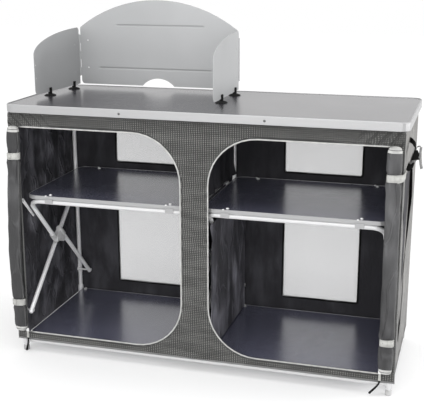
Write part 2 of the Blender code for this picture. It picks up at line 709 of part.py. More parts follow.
def tube_clip(place_x, bar_y, row, finish):
    """A moulded clip under a mid shelf; the rear one is open towards the front."""
    half = CLIP_WIDTH / 2
    outer = row * (CROSSBAR_Y + TUBE_RADIUS + CLIP_WALL - SHELF_RIM_LIP)
    inner = row * (CROSSBAR_Y - CLIP_ROOT)
    ys = sorted((inner, outer))
    ledge = SHELF_TOP - SHELF_BOARD_SINK - SHELF_BOARD_THICK - GAP
    clip = box("clip", (place_x - half, ys[0], CROSSBAR_HEIGHT - CLIP_REACH),
               (place_x + half, ys[1], ledge), finish)
    ends = (place_x - half - OVERRUN, place_x + half + OVERRUN)
    cut(clip, rod("bar", (ends[0], bar_y, CROSSBAR_HEIGHT), (ends[1], bar_y, CROSSBAR_HEIGHT),
                  BORE_RADIUS, finish))
    open_from = CROSSBAR_HEIGHT - CLIP_REACH - OVERRUN
    if row > 0:
        cut(clip, box("mouth", (ends[0], ys[0] - OVERRUN, open_from),
                      (ends[1], bar_y, CROSSBAR_HEIGHT + BORE_RADIUS), finish))
    else:
        cut(clip, box("root", (ends[0], bar_y + TUBE_RADIUS + CLIP_WALL, open_from),
                      (ends[1], ys[1] + OVERRUN, CROSSBAR_HEIGHT + BORE_RADIUS), finish))
    return clip


def shelf_plan(side, inner_x, outer_x):
    ends = sorted((side * inner_x, side * outer_x))
    return (ends[0], -SHELF_HALF_DEPTH), (ends[1], SHELF_HALF_DEPTH)


def mid_shelf(names, side, finishes):
    low, high = shelf_plan(side, SHELF_INNER_X, SHELF_OUTER_X)
    top = SHELF_TOP - SHELF_BOARD_SINK
    bottom = top - SHELF_BOARD_THICK
    panel = board(names[0], low, high, SHELF_CORNER, SHELF_RIM_LIP, bottom, top, finishes["shelf"])
    section = rim_section(SHELF_TOP, SHELF_RIM_HEIGHT, SHELF_RIM_FLANGE, SHELF_RIM_LIP, SHELF_RIM_ROUND,
                          bottom)
    rim = edge_ring(names[1], low, high, SHELF_CORNER, section, finishes["rim"])
    for place_x in (CLIP_INNER_X, CLIP_OUTER_X):
        for row in (-1, 1):
            join(rim, tube_clip(side * place_x, row * CROSSBAR_Y, row, finishes["rim"]))
    return panel, rim


def bottom_shelf(names, side, finishes):
    low, high = shelf_plan(side, BOTTOM_SHELF_INNER_X, BOTTOM_SHELF_OUTER_X)
    top = BOTTOM_SHELF_TOP - SHELF_BOARD_SINK
    bottom = top - SHELF_BOARD_THICK
    panel = board(names[0], low, high, BOTTOM_SHELF_CORNER, SHELF_RIM_LIP, bottom, top, finishes["shelf"])
    section = rim_section(BOTTOM_SHELF_TOP, SHELF_RIM_HEIGHT, SHELF_RIM_FLANGE, SHELF_RIM_LIP,
                          SHELF_RIM_ROUND, bottom)
    rim = edge_ring(names[1], low, high, BOTTOM_SHELF_CORNER, section, finishes["rim"])
    half = PAD_WIDTH / 2
    seat = BOTTOM_RAIL_HEIGHT + BOTTOM_RAIL_RADIUS + GAP
    for place_x in (CLIP_INNER_X, CLIP_OUTER_X):
        for row in (-1, 1):
            ys = sorted((row * (POST_Y + BOTTOM_RAIL_RADIUS), row * (SHELF_HALF_DEPTH - SHELF_RIM_FLANGE)))
            pad = box("pad", (side * place_x - half, ys[0], seat),
                      (side * place_x + half, ys[1], seat + PAD_HEIGHT), finishes["rim"])
            join(rim, pad)
    return panel, rim


# Fabric

def doorway(side, grow):
    low = (DOOR_INNER_X - grow, DOOR_LOW - grow)
    high = (DOOR_OUTER_X + grow, DOOR_HIGH + grow)
    soft, hard = DOOR_ROUND + grow, DOOR_SHARP + grow
    return mirrored(rounded(low, high, (soft, hard, hard, soft), 2 * CORNER_STEPS), side)


def front_cover(name, finish):
    outer = -COVER_Y - FABRIC
    edge = WALL_X + FABRIC
    result = box(name, (-edge, outer, COVER_LOW), (edge, -COVER_Y, COVER_TOP), finish)
    for side in (-1, 1):
        bead = prism("zip", doorway(side, ZIP_WIDTH), "Y", outer - ZIP_PROUD, outer + FABRIC / 2, finish)
        join(result, bead)
    for side in (-1, 1):
        cut(result, prism("door", doorway(side, 0.0), "Y", outer - OVERRUN, -COVER_Y + OVERRUN, finish))
    return result


def window(side, low, high, shrink):
    return mirrored(rounded((WINDOW_INNER_X + shrink, low + shrink), (WINDOW_OUTER_X - shrink, high - shrink),
                            (WINDOW_CORNER,) * 4), side)


def back_cover(name, finish):
    edge = WALL_X + FABRIC
    result = box(name, (-edge, COVER_Y, COVER_LOW), (edge, COVER_Y + FABRIC, COVER_TOP), finish)
    for side in (-1, 1):
        for low, high in ((WINDOW_LOW, WINDOW_LOW_TOP), (WINDOW_HIGH, WINDOW_HIGH_TOP)):
            cut(result, prism("window", window(side, low, high, 0.0), "Y", COVER_Y - OVERRUN,
                              COVER_Y + FABRIC + OVERRUN, finish))
    return result


def window_mesh(name, side, finish):
    xs = sorted((side * (WINDOW_INNER_X - WINDOW_SEAM), side * (WINDOW_OUTER_X + WINDOW_SEAM)))
    far = COVER_Y - GAP
    return box(name, (xs[0], far - MESH_THICK, WINDOW_LOW - WINDOW_SEAM),
               (xs[1], far, WINDOW_HIGH_TOP + WINDOW_SEAM), finish)


def side_wall(name, side, finish):
    xs = sorted((side * WALL_X, side * (WALL_X + FABRIC)))
    reach = COVER_Y - GAP
    return box(name, (xs[0], -reach, COVER_LOW), (xs[1], reach, COVER_TOP), finish)


def side_pocket(name, finish):
    near = WALL_X + FABRIC + GAP
    outline = ((-POCKET_FRONT, POCKET_TOP), (-POCKET_SLANT, POCKET_LOW + POCKET_ROUND),
               (-POCKET_SLANT + POCKET_ROUND, POCKET_LOW), (POCKET_REAR - POCKET_ROUND, POCKET_LOW),
               (POCKET_REAR, POCKET_LOW + POCKET_ROUND), (POCKET_REAR, POCKET_TOP - POCKET_ROUND),
               (POCKET_REAR - POCKET_ROUND, POCKET_TOP))
    return prism(name, outline, "X", near, near + POCKET_PROUD, finish)


def folded_sheet(name, centre_x, low, high, reach, finish):
    """A hanging sheet with shallow vertical folds along its depth."""
    count = DIVIDER_FOLDS * CORNER_STEPS
    front, back = [], []
    for step in range(count + 1):
        along = -reach + 2 * reach * step / count
        fold = DIVIDER_FOLD * math.sin(math.tau * DIVIDER_FOLDS * step / count) / 2
        front.append((centre_x + fold - FABRIC / 2, along))
        back.append((centre_x + fold + FABRIC / 2, along))
    return prism(name, front + back[::-1], "Z", low, high, finish, smooth=True)


def divider_sleeve(name, finish):
    """Two hanging sheets, joined below, round the arms of the middle scissor."""
    reach = CROSSBAR_Y - TUBE_RADIUS - PLAY
    low, high = DIVIDER_SLEEVE_LOW, DIVIDER_SLEEVE_TOP
    result = folded_sheet(name, DIVIDER_SLEEVE_X, low, high, reach, finish)
    join(result, folded_sheet("far", -DIVIDER_SLEEVE_X, low, high, reach, finish))
    web = box("web", (-DIVIDER_SLEEVE_X, -reach + GAP, DIVIDER_SLEEVE_LOW),
              (DIVIDER_SLEEVE_X, reach - GAP, DIVIDER_SLEEVE_LOW + FABRIC), finish)
    return join(result, web)


def divider_upper(name, finish):
    reach = POST_Y - TUBE_RADIUS - GAP
    low = SHELF_TOP + DIVIDER_EDGE
    return folded_sheet(name, 0.0, low, TOP_RAIL_HEIGHT - TUBE_RADIUS - PLAY, reach, finish)


# Door rolls, straps, pulls and cords

def roll_share(height):
    """How full the roll is at a height: drawn in at the straps and at its lower end."""
    share = 1.0
    for strap in (STRAP_HIGH, STRAP_LOW):
        away = abs(height - strap) / ROLL_CINCH
        if away < 1:
            share = min(share, ROLL_CINCH_SHARE + (1 - ROLL_CINCH_SHARE) * away * away)
    for end in (ROLL_LOW, ROLL_TOP):
        near = abs(height - end) / ROLL_TAPER
        if near < 1:
            share = min(share, ROLL_TIP_SHARE + (1 - ROLL_TIP_SHARE) * math.sqrt(near * (2 - near)))
    return share


def strap_at(height):
    """The height of the strap that holds the roll here, if one does."""
    for strap in (STRAP_HIGH, STRAP_LOW):
        if abs(height - strap) <= STRAP_WIDTH / 2 + GAP:
            return strap
    return None


def roll_lean(side, height):
    """How far the lower part of the roll has slumped outwards, most near the lower strap."""
    down = (ROLL_TOP - height) / (ROLL_TOP - ROLL_LOW)
    most = ROLL_LEAN_LEFT if side < 0 else ROLL_LEAN_RIGHT
    return side * most * math.sin(math.pi * down ** (1 / ROLL_LEAN_SHARE))


def roll_outline(side, height, share, grow=0.0):
    points = []
    centre_x = side * ROLL_X + roll_lean(side, height)
    count = 4 * BEND_STEPS
    for step in range(count):
        angle = math.tau * step / count
        across = (ROLL_HALF_WIDTH * share + grow) * math.cos(angle)
        out = (ROLL_HALF_DEPTH * share + grow) * math.sin(angle)
        points.append((centre_x + across, -ROLL_Y + out))
    return points


def roll_heights():
    steps = [ROLL_LOW, ROLL_TOP]
    for end, way in ((ROLL_LOW, 1), (ROLL_TOP, -1)):
        steps += [end + way * ROLL_TAPER * share for share in ROLL_RING_SHARES]
    steps += [STRAP_LOW + (STRAP_HIGH - STRAP_LOW) * share for share in ROLL_LONG_SHARES]
    for strap in (STRAP_HIGH, STRAP_LOW):
        steps += [strap + way * ROLL_CINCH for way in (-1, 1)]
        steps += [strap + way * STRAP_WIDTH / 2 for way in (-1, 1)]
    return sorted(steps)


def strap_share():
    return roll_share(STRAP_HIGH + STRAP_WIDTH / 2)


def door_roll(name, side, finish):
    rings = []
    for height in roll_heights():
        strap = strap_at(height)
        share = strap_share() if strap else roll_share(height)
        outline = roll_outline(side, strap or height, share)
        rings.append([(across, out, height) for across, out in outline])
    return loft(name, rings, finish)


def roll_strap(name, side, height, finish):
    low, high = height - STRAP_WIDTH / 2 + GAP, height + STRAP_WIDTH / 2 - GAP
    outer = roll_outline(side, height, strap_share(), GAP + STRAP_THICK)
    inner = roll_outline(side, height, strap_share(), GAP)
    result = prism(name, outer, "Z", low, high, finish, smooth=True)
    return cut(result, prism("core", inner, "Z", low - OVERRUN, high + OVERRUN, finish))


def pull_place(side):
    return Vector((side * PULL_X, -COVER_Y - FABRIC - ZIP_PROUD - GAP, PULL_TOP))


def zip_pull(name, side, finish):
    top = pull_place(side)
    half = PULL_WIDTH / 2
    low, high = (top.x - half, top.z - PULL_LENGTH), (top.x + half, top.z)
    return prism(name, rounded(low, high, (half - GAP,) * 4, 4), "Y", top.y - PULL_THICK, top.y, finish)


def smooth_route(points, count):
    """Points read evenly from a smooth curve through the route."""
    knots = [Vector(point) * MM for point in points]
    result = []
    for step in range(count):
        place_on = step / (count - 1) * (len(knots) - 1)
        index = min(int(place_on), len(knots) - 2)
        share = place_on - index
        before, after = knots[max(index - 1, 0)], knots[min(index + 2, len(knots) - 1)]
        near, far = knots[index], knots[index + 1]
        result.append(0.5 * (2 * near + (far - before) * share
                             + (2 * before - 5 * near + 4 * far - after) * share ** 2
                             + (3 * near - before - 3 * far + after) * share ** 3))
    return result


def zip_cord(name, side, route, finish):
    start = pull_place(side) + Vector((0, -PULL_THICK / 2, -PULL_LENGTH - GAP - CORD_RADIUS / 2))
    curve = bpy.data.curves.new(name, "CURVE")
    curve.dimensions = "3D"
    curve.bevel_depth = CORD_RADIUS
    curve.bevel_resolution = 2
    curve.use_fill_caps = True
    points = smooth_route(route, CORD_POINTS)
    line = curve.splines.new("POLY")
    line.points.add(len(points) - 1)
    for knot, point in zip(line.points, points):
        knot.co = (*(start + point), 1.0)
    curve.materials.append(finish)
    result = bpy.data.objects.new(name, curve)
    bpy.context.collection.objects.link(result)
    return result


# Wind shield

def knuckle_spans(odd):
    pitch = (KNUCKLE_HIGH - KNUCKLE_LOW) / KNUCKLES
    spans = []
    for index in range(KNUCKLES):
        if index % 2 == odd:
            low = KNUCKLE_LOW + index * pitch
            spans.append((low + GAP / 2, low + pitch - GAP / 2))
    return spans


def add_knuckles(target, hinge_x, odd, toward, finish):
    """Join the hinge knuckles to a sheet and free the other sheet's knuckles."""
    for low, high in knuckle_spans(odd):
        barrel = rod("knuckle", (hinge_x, SHIELD_Y, low), (hinge_x, SHIELD_Y, high), KNUCKLE_RADIUS, finish)
        reach = hinge_x + toward[0] * KNUCKLE_RADIUS * 2, SHIELD_Y + toward[1] * KNUCKLE_RADIUS * 2
        xs = sorted((hinge_x, reach[0])) if toward[0] else (hinge_x - SHEET / 2, hinge_x + SHEET / 2)
        ys = sorted((SHIELD_Y, reach[1])) if toward[1] else (SHIELD_Y - SHEET / 2, SHIELD_Y + SHEET / 2)
        join(barrel, box("leaf", (xs[0], ys[0], low), (xs[1], ys[1], high), finish))
        join(target, barrel)
    low, high = KNUCKLE_LOW - OVERRUN, KNUCKLE_HIGH + OVERRUN
    bore = rod("bore", (hinge_x, SHIELD_Y, low), (hinge_x, SHIELD_Y, high),
               KNUCKLE_RADIUS - KNUCKLE_WALL + GAP / 2, finish)
    return cut(target, bore)


def drill(target, axis, spots, centre, finish):
    """Small through holes along one world axis."""
    for across, up in spots:
        start, end = (place(axis, across, up, centre + way * OVERRUN) for way in (-1, 1))
        cut(target, rod("drill", start, end, HOLE_RADIUS, finish))
    return target


def shield_back(name, finish):
    edge = KNUCKLE_RADIUS + PLAY
    left, right = SHIELD_LEFT + edge, SHIELD_RIGHT - edge
    half = (right - left) / 2
    middle = (left + right) / 2
    rise = SHIELD_PEAK - SHIELD_SHOULDER
    radius = (half * half + rise * rise) / (2 * rise)
    spread = math.asin(half / radius)
    quarter = math.pi / 2
    outline = arc((middle, SHIELD_PEAK - radius), radius, quarter - spread, quarter + spread, ARC_STEPS)
    for corner_x, turn in ((left + SHIELD_CORNER, math.pi), (right - SHIELD_CORNER, math.pi + quarter)):
        outline += arc((corner_x, SHIELD_LOW + SHIELD_CORNER), SHIELD_CORNER, turn, turn + quarter,
                       CORNER_STEPS)
    low, high = SHIELD_Y - SHEET / 2, SHIELD_Y + SHEET / 2
    result = prism(name, outline, "Y", low, high, finish)
    reach = (ARCH_WIDTH * ARCH_WIDTH / 4 + ARCH_HEIGHT * ARCH_HEIGHT) / (2 * ARCH_HEIGHT)
    turn = math.asin(ARCH_WIDTH / 2 / reach)
    arch = arc((ARCH_CENTRE_X, SHIELD_LOW + ARCH_HEIGHT - reach), reach, quarter - turn, quarter + turn,
               ARC_STEPS)
    arch += [(ARCH_CENTRE_X - ARCH_WIDTH / 2, SHIELD_LOW - OVERRUN),
             (ARCH_CENTRE_X + ARCH_WIDTH / 2, SHIELD_LOW - OVERRUN)]
    cut(result, prism("arch", arch, "Y", low - OVERRUN, high + OVERRUN, finish))
    for hinge_x, way in ((SHIELD_LEFT, 1), (SHIELD_RIGHT, -1)):
        spots = [(hinge_x + way * HOLE_INSET, SHIELD_LOW + rise) for rise in (BACK_HOLES_LOW, BACK_HOLES_HIGH)]
        drill(result, "Y", spots, SHIELD_Y, finish)
        add_knuckles(result, hinge_x, 0, (way, 0), finish)
    return result


def wing_outline():
    """A wing as distance in front of its hinge and height."""
    near = -(KNUCKLE_RADIUS + PLAY)
    far = -WING_LENGTH
    rise = SHIELD_SHOULDER - WING_FRONT_HEIGHT
    points = [(near, SHIELD_LOW), (near, SHIELD_SHOULDER - SHIELD_EDGE)]
    for step in range(ARC_STEPS + 1):
        turn = math.pi / 2 * step / ARC_STEPS
        across = near - SHIELD_EDGE + (far - near + SHIELD_EDGE) * math.sin(turn)
        points.append((across, WING_FRONT_HEIGHT + rise * math.cos(turn)))
    centre = (far + WING_CORNER, SHIELD_LOW + WING_CORNER)
    return points + arc(centre, WING_CORNER, math.pi, math.pi + math.pi / 2, CORNER_STEPS)


def shield_wing(name, hinge_x, finish):
    outline = [(SHIELD_Y + across, up) for across, up in wing_outline()]
    result = prism(name, outline, "X", hinge_x - SHEET / 2, hinge_x + SHEET / 2, finish)
    spots = [(SHIELD_Y - WING_HOLES_NEAR, SHIELD_LOW + rise) for rise in (WING_HOLES_LOW, WING_HOLES_HIGH)]
    spots += [(SHIELD_Y - WING_HOLES_FAR, SHIELD_LOW + rise) for rise in (TIP_HOLES_LOW, TIP_HOLES_HIGH)]
    drill(result, "X", spots, hinge_x, finish)
    return add_knuckles(result, hinge_x, 1, (0, -1), finish)


def hinge_pin(name, hinge_x, finish):
    radius = KNUCKLE_RADIUS - KNUCKLE_WALL - GAP / 2
    result = rod(name, (hinge_x, SHIELD_Y, KNUCKLE_LOW - PIN_HEAD), (hinge_x, SHIELD_Y, KNUCKLE_HIGH + GAP),
                 radius, finish)
    head = rod("head", (hinge_x, SHIELD_Y, KNUCKLE_HIGH + GAP), (hinge_x, SHIELD_Y, KNUCKLE_HIGH + PIN_HEAD),
               KNUCKLE_RADIUS, finish)
    return join(result, head)


def suction_cup(name, hinge_x, ahead, finish):
    """A rubber cup with a slotted grip for the lower edge of a wing."""
    centre_y = SHIELD_Y - ahead
    base = BOARD_TOP + GAP
    rings = []
    for share, rise in (*CUP_RING_SHARES, (CUP_NECK / CUP_RADIUS, 1)):
        rings.append(ring_round(Vector((hinge_x, centre_y, base + CUP_HEIGHT * rise)), Vector((0, 0, 1)),
                                CUP_RADIUS * share, 2 * TUBE_SIDES))
    result = loft(name, rings, finish)
    join(result, rod("grip", (hinge_x, centre_y, base + CUP_HEIGHT / 2),
                     (hinge_x, centre_y, base + CUP_GRIP_HEIGHT), CUP_GRIP_RADIUS, finish))
    slot = box("slot", (hinge_x - SHEET / 2 - GAP, centre_y - OVERRUN, SHIELD_LOW - GAP),
               (hinge_x + SHEET / 2 + GAP, centre_y + OVERRUN, base + CUP_GRIP_HEIGHT + OVERRUN), finish)
    return cut(result, slot)


# Assembly

def pivot(name, place_at, parent):
    """An empty on a joint axis that carries one moving group."""
    result = bpy.data.objects.new(name, None)
    bpy.context.collection.objects.link(result)
    result.parent = parent
    result["rest_place"] = place_at
    base = Vector(parent["rest_place"]) if parent else Vector((0, 0, 0))
    result.location = Vector(place_at) - base
    return result


def carry(carrier, *pieces):
    """Parent pieces to a pivot and keep them where they were modelled."""
    rest = Vector(carrier["rest_place"])
    for piece in pieces:
        if piece.type == "MESH":
            piece.data.transform(Matrix.Translation(-rest))
        else:
            for line in piece.data.splines:
                for knot in line.points:
                    knot.co = (*(knot.co.xyz - rest), 1.0)
        piece.parent = carrier


def turn_about(pieces, hinge_x, angle):
    """Turn modelled pieces about an upright hinge."""
    centre = Vector((hinge_x, SHIELD_Y, 0.0))
    move = Matrix.Translation(centre) @ Matrix.Rotation(angle, 4, "Z") @ Matrix.Translation(-centre)
    for piece in pieces:
        piece.data.transform(move)


def build():
    clear_scene()
    finishes = make_materials()
    tube_finish, rim_finish = finishes["tube"], finishes["rim"]
    origin = pivot("kitchen", (0.0, 0.0, 0.0), None)
    front = ROLL_Y + ROLL_HALF_DEPTH * strap_share() + GAP + STRAP_THICK
    origin.location = (0.0, (front - TOP_DEPTH / 2) / 2, 0.0)
    sides = (("left", -1), ("right", 1))

    rear_hoops = pivot("rear_hoops_pivot", (0.0, -LOW_PIVOT_Y, LOW_PIVOT_HEIGHT), origin)
    front_hoops = pivot("front_hoops_pivot", (0.0, 0.0, CROSSING_HEIGHT), rear_hoops)
    rear_frame = pivot("rear_frame_pivot", (0.0, LOW_PIVOT_Y, LOW_PIVOT_HEIGHT), front_hoops)
    shelves = pivot("mid_shelves_pivot", (0.0, -CROSSBAR_Y, CROSSBAR_HEIGHT), front_hoops)
    stays = pivot("stay_links_pivot", (0.0, -POST_Y, STAY_HEIGHT), origin)
    top = pivot("worktop_pivot", (0.0, 0.0, TOP_HEIGHT), origin)
    shield = pivot("shield_pivot", (0.0, SHIELD_Y, SHIELD_LOW), top)

    carry(origin, post_with_pivots("front_post_centre", 0, True, tube_finish))
    carry(rear_frame, post_with_pivots("rear_post_centre", 0, False, tube_finish))
    carry(origin, top_rail("front_top_rail", -POST_Y, tube_finish),
          bottom_rail("front_bottom_rail", -POST_Y, tube_finish))
    carry(rear_frame, top_rail("rear_top_rail", POST_Y, tube_finish),
          bottom_rail("rear_bottom_rail", POST_Y, tube_finish))

    for label, side in sides:
        front_post = post_with_pivots("front_post_" + label, side, True, tube_finish)
        carry(origin, add_stay_pin(front_post, side, tube_finish))
        carry(rear_frame, post_with_pivots("rear_post_" + label, side, False, tube_finish))
        carry(rear_hoops, rear_hoop("rear_hoop_" + label, side, tube_finish))
        carry(front_hoops, front_hoop("front_hoop_" + label, side, tube_finish),
              lower_leg("lower_leg_" + label, side, tube_finish),
              pivot_block("pivot_block_" + label, side, finishes["block"]))
        carry(stays, stay_link("stay_link_" + label, side, tube_finish))
        carry(shelves, *mid_shelf(("mid_shelf_board_" + label, "mid_shelf_rim_" + label), side, finishes))
        lift = pivot("bottom_shelf_pivot_" + label,
                     (side * BOTTOM_SHELF_OUTER_X / 2, 0.0, BOTTOM_SHELF_TOP), origin)
        bottom_names = ("bottom_shelf_board_" + label, "bottom_shelf_rim_" + label)
        carry(lift, *bottom_shelf(bottom_names, side, finishes))
        carry(rear_frame, window_mesh("window_mesh_" + label, side, finishes["net"]))
        carry(origin, side_wall("side_wall_" + label, side, finishes["cover"]),
              door_roll("door_roll_" + label, side, finishes["door"]),
              roll_strap("roll_strap_" + label + "_upper", side, STRAP_HIGH, finishes["webbing"]),
              roll_strap("roll_strap_" + label + "_lower", side, STRAP_LOW, finishes["webbing"]),
              zip_pull("zip_pull_" + label, side, finishes["webbing"]))
        route = CORD_ROUTE_LEFT if side < 0 else CORD_ROUTE_RIGHT
        carry(origin, zip_cord("zip_cord_" + label, side, route, finishes["black"]))

    carry(origin, front_cover("front_cover", finishes["cover"]),
          side_pocket("side_pocket", finishes["cover"]),
          divider_upper("divider_upper", finishes["lining"]),
          divider_sleeve("divider_sleeve", finishes["lining"]))
    carry(rear_frame, back_cover("back_cover", finishes["lining"]))

    carry(top, *worktop(("worktop_board", "worktop_rim"), finishes))
    carry(shield, shield_back("shield_back", finishes["sheet"]))
    for label, hinge_x, splay in (("left", SHIELD_LEFT, -WING_SPLAY), ("right", SHIELD_RIGHT, 0.0)):
        swing = pivot("wing_pivot_" + label, (hinge_x, SHIELD_Y, SHIELD_LOW), shield)
        pieces = [shield_wing("shield_wing_" + label, hinge_x, finishes["sheet"])]
        for spot, ahead in (("front", CUP_FRONT), ("rear", CUP_REAR)):
            pieces.append(suction_cup("suction_cup_" + label + "_" + spot, hinge_x, ahead, finishes["black"]))
        turn_about(pieces, hinge_x, splay)
        carry(swing, *pieces)
        carry(shield, hinge_pin("shield_hinge_pin_" + label, hinge_x, rim_finish))


build()
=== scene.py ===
"""Dresses the folding camp kitchen: fabric covers, rolled doors, straps, fasteners and finishes."""

import math

import bmesh
import bpy
from bpy.props import FloatProperty, FloatVectorProperty, PointerProperty
from mathutils import Matrix, Vector, noise


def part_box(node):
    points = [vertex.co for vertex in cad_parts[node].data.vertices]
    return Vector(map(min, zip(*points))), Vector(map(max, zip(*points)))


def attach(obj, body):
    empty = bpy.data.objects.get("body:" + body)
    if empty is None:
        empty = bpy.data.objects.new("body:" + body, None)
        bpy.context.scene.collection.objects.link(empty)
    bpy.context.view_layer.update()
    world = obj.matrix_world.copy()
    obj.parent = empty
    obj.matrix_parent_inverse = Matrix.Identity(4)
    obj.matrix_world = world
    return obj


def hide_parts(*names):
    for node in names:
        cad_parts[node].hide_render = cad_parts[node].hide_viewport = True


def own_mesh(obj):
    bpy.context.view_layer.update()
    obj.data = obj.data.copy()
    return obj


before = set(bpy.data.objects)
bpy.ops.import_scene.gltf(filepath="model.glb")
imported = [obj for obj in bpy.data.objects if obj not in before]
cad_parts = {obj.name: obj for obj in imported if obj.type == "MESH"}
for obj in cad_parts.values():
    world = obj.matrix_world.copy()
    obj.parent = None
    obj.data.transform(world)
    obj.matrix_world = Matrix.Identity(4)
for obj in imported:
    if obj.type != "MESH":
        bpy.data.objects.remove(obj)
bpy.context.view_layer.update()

bl_info = {
    "name": "Camp kitchen dressing",
    "version": (1, 0, 0),
    "blender": (4, 5, 0),
    "location": "3D View > Sidebar > Kitchen",
    "description": "Fabric, straps, fasteners and finishes for a folding camp kitchen",
    "category": "Object",
}

MM = 0.001
SIDES = (("left", -1), ("right", 1))

# Places read from the frame
COVER_LOW, COVER_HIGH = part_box("front_cover")
BACK_LOW, BACK_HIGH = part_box("back_cover")
TOP_LOW, TOP_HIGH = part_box("worktop_rim")
WALL_LOW, WALL_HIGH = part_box("side_wall_right")
SHIELD_LOW, SHIELD_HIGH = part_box("shield_back")

# Sizes repeated from the solids
MIDDLE_Y = (TOP_LOW.y + TOP_HIGH.y) / 2
FABRIC = 1.5 * MM
GAP = 0.3 * MM
ZIP_PROUD = 1.2 * MM
TUBE_RADIUS = 7 * MM
POST_X = 578 * MM
POST_Y = 213 * MM
FOOT_RADIUS = 9 * MM
SLEEVE_X = 43.6 * MM
FRONT_Y = COVER_LOW.y + ZIP_PROUD
DOOR_LOW = 71 * MM
DOOR_DROP = 43.4 * MM
DOOR_INNER_X = {-1: 48 * MM, 1: 40 * MM}
DOOR_OUTER_X = 557 * MM
DOOR_ROUND = 145 * MM
DOOR_SHARP = 4 * MM
DOOR_HIGH = COVER_HIGH.z - DOOR_DROP
WINDOW_INNER_X = 173 * MM
WINDOW_OUTER_X = 423 * MM
WINDOW_LOW = 105 * MM
WINDOW_LOW_TOP = 470 * MM
WINDOW_HIGH = 541 * MM
WINDOW_HIGH_TOP = COVER_HIGH.z - 62.4 * MM
WINDOW_CORNER = 5 * MM
NET_LAP = 2 * MM
ROLL_X = {-1: 567 * MM, 1: 565 * MM}
ROLL_HALF_DEPTH = 13 * MM
ROLL_LEAN = {-1: 17 * MM, 1: 3 * MM}
ROLL_RETURN = {-1: 6 * MM, 1: 0.0}
ROLL_LEAN_SHARE = 0.65
COVER_FLARE = {-1: 9 * MM, 1: 5 * MM}
FLARE_FROM = 480 * MM
ROLL_CINCH_SHARE = 0.79
ROLL_TIP_SHARE = 0.62
STRAP_DROP = {(-1, "upper"): 5 * MM, (-1, "lower"): 0.0, (1, "upper"): 0.0, (1, "lower"): 0.0}
BUCKLE_Y = -0.175
BUCKLE_OUTLINES = {
    "buckle_latch": ((1, 12), (10, 9), (20, 20), (23, 33), (17, 32), (14.5, 26), (10.5, 27), (9, 37), (5.5, 29)),
    "buckle_shell": ((14, 40), (36, 41), (33, 47), (34.5, 55), (29, 67), (21, 67), (18.5, 55), (16.5, 45)),
}
STRAP_ROUTES = (  # name, finish, cross direction, width, and spots as outwards, backwards and up
    ("side_strap", "webbing", (0, 0, 1), 20,
     ((-14, -64, -1), (-5, -58, 0), (2, -44, 1.5), (3.5, -22, 4), (2.5, -6, 6))),
    ("buckle_webbing", "piping", (1, 0, -0.5), 10, ((13, 11, 24), (19, 11, 34), (25, 11, 44))),
    ("strap_loop", "piping", (0, 1, 0), 14, ((25, 16, 58), (25, 16, 70), (28, 18, 76), (34, 20, 77), (37, 22, 72))),
    ("strap_tail", "piping", (0.35, 1, 0), 14,
     ((37, 22, 73), (36, 22, 58), (37, 22, 42), (39, 22, 26), (42, 22, 14))),
    ("strap_root", "binding", (0, 0.2, 1), 15, ((23, 26, 66), (20, 48, 74), (10, 78, 78), (1.2, 110, 76))),
)
CORD_ROUTES = {
    "left": ((0.0, 0.0, 0.0), (0.0005, -0.0005, -0.007), (0.0, -0.0015, -0.016),
             (-0.002, -0.0025, -0.026), (-0.004, -0.003, -0.036), (-0.006, -0.003, -0.041)),
    "right": ((0.0, 0.0, 0.0), (-0.001, -0.0005, -0.007), (-0.006, -0.0015, -0.015),
              (-0.014, -0.0025, -0.025), (-0.022, -0.003, -0.034), (-0.027, -0.003, -0.040)),
}
CORD_POINTS = 20

# Turned profiles, radius and height in millimetres
SCREW_HEAD = ((0, 2.1), (1, 2.1), (1.1, 1.3), (1.5, 1.3), (1.7, 2), (2.9, 1.4), (3.6, 0.4), (3.6, 0), (0, 0))
RIVET = ((0, 3.4), (2.2, 3.1), (4.2, 2.1), (5.2, 0.5), (5.2, 0), (0, 0))
KNOB = ((0, 7), (3, 6.6), (5, 4.8), (5.4, 2.4), (4.2, 1), (6, 0.4), (6, 0), (0, 0))
BEAD = ((0, -3.2), (1.6, -2.8), (2.5, -1.2), (2.6, 0.6), (1.8, 2.4), (0, 3))

# Fabric grids and details of the dressing
ROLL_TURNS = 8
ROLL_FACETS = 32
ROLL_ROWS = 54
ROLL_CORE_SHARE = 0.16
ROLL_EDGE = -0.45
ROLL_CLOTH = 0.8 * MM
ROLL_TAPES = (6 * MM, 8 * MM, 16 * MM)
RIM_SCREWS = (-228 * MM, 204 * MM)
RIVETS_X = (88 * MM, 478 * MM)
RIVETS_Y = 190 * MM
RIVET_STEP = (-9 * MM, 15 * MM)
CREASES = ((-400 * MM, -89 * MM, 196 * MM), (-464 * MM, -63 * MM, 55 * MM))

# Camera and light
CAMERA_PLACE = (0.7707, -2.6552, 1.2309)
CAMERA_DOWN = math.radians(15.502)
CAMERA_TURN = math.radians(16.424)
CAMERA_ROLL = math.radians(-0.139)
CAMERA_FOCAL = 914.7
PHOTO_WIDTH = 424
SENSOR = 36
FLOOR_GLOW = 1.04
FLOOR_NEAR_GLOW = 0.3
FLOOR_FADE = (0.72, 1.5)
WORLD_GLOW = 0.5
LAMPS = (  # name, place, target, size, watts
    ("key", (2.6, -2.4, 2.4), (0.0, 0.0, 0.5), (1.6, 1.6), 7),
    ("fill", (-2.8, -2.2, 1.8), (0.0, 0.0, 0.5), (2.0, 2.0), 22),
    ("front", (0.4, -3.6, 1.35), (0.0, 0.0, 0.4), (4.4, 2.4), 86),
    ("side", (2.8, 0.3, 0.95), (0.0, 0.1, 0.7), (1.2, 0.8), 42),
    ("top", (0.0, -0.2, 3.4), (0.0, -0.2, 0.6), (3.6, 3.6), 75),
)


# Shader maths

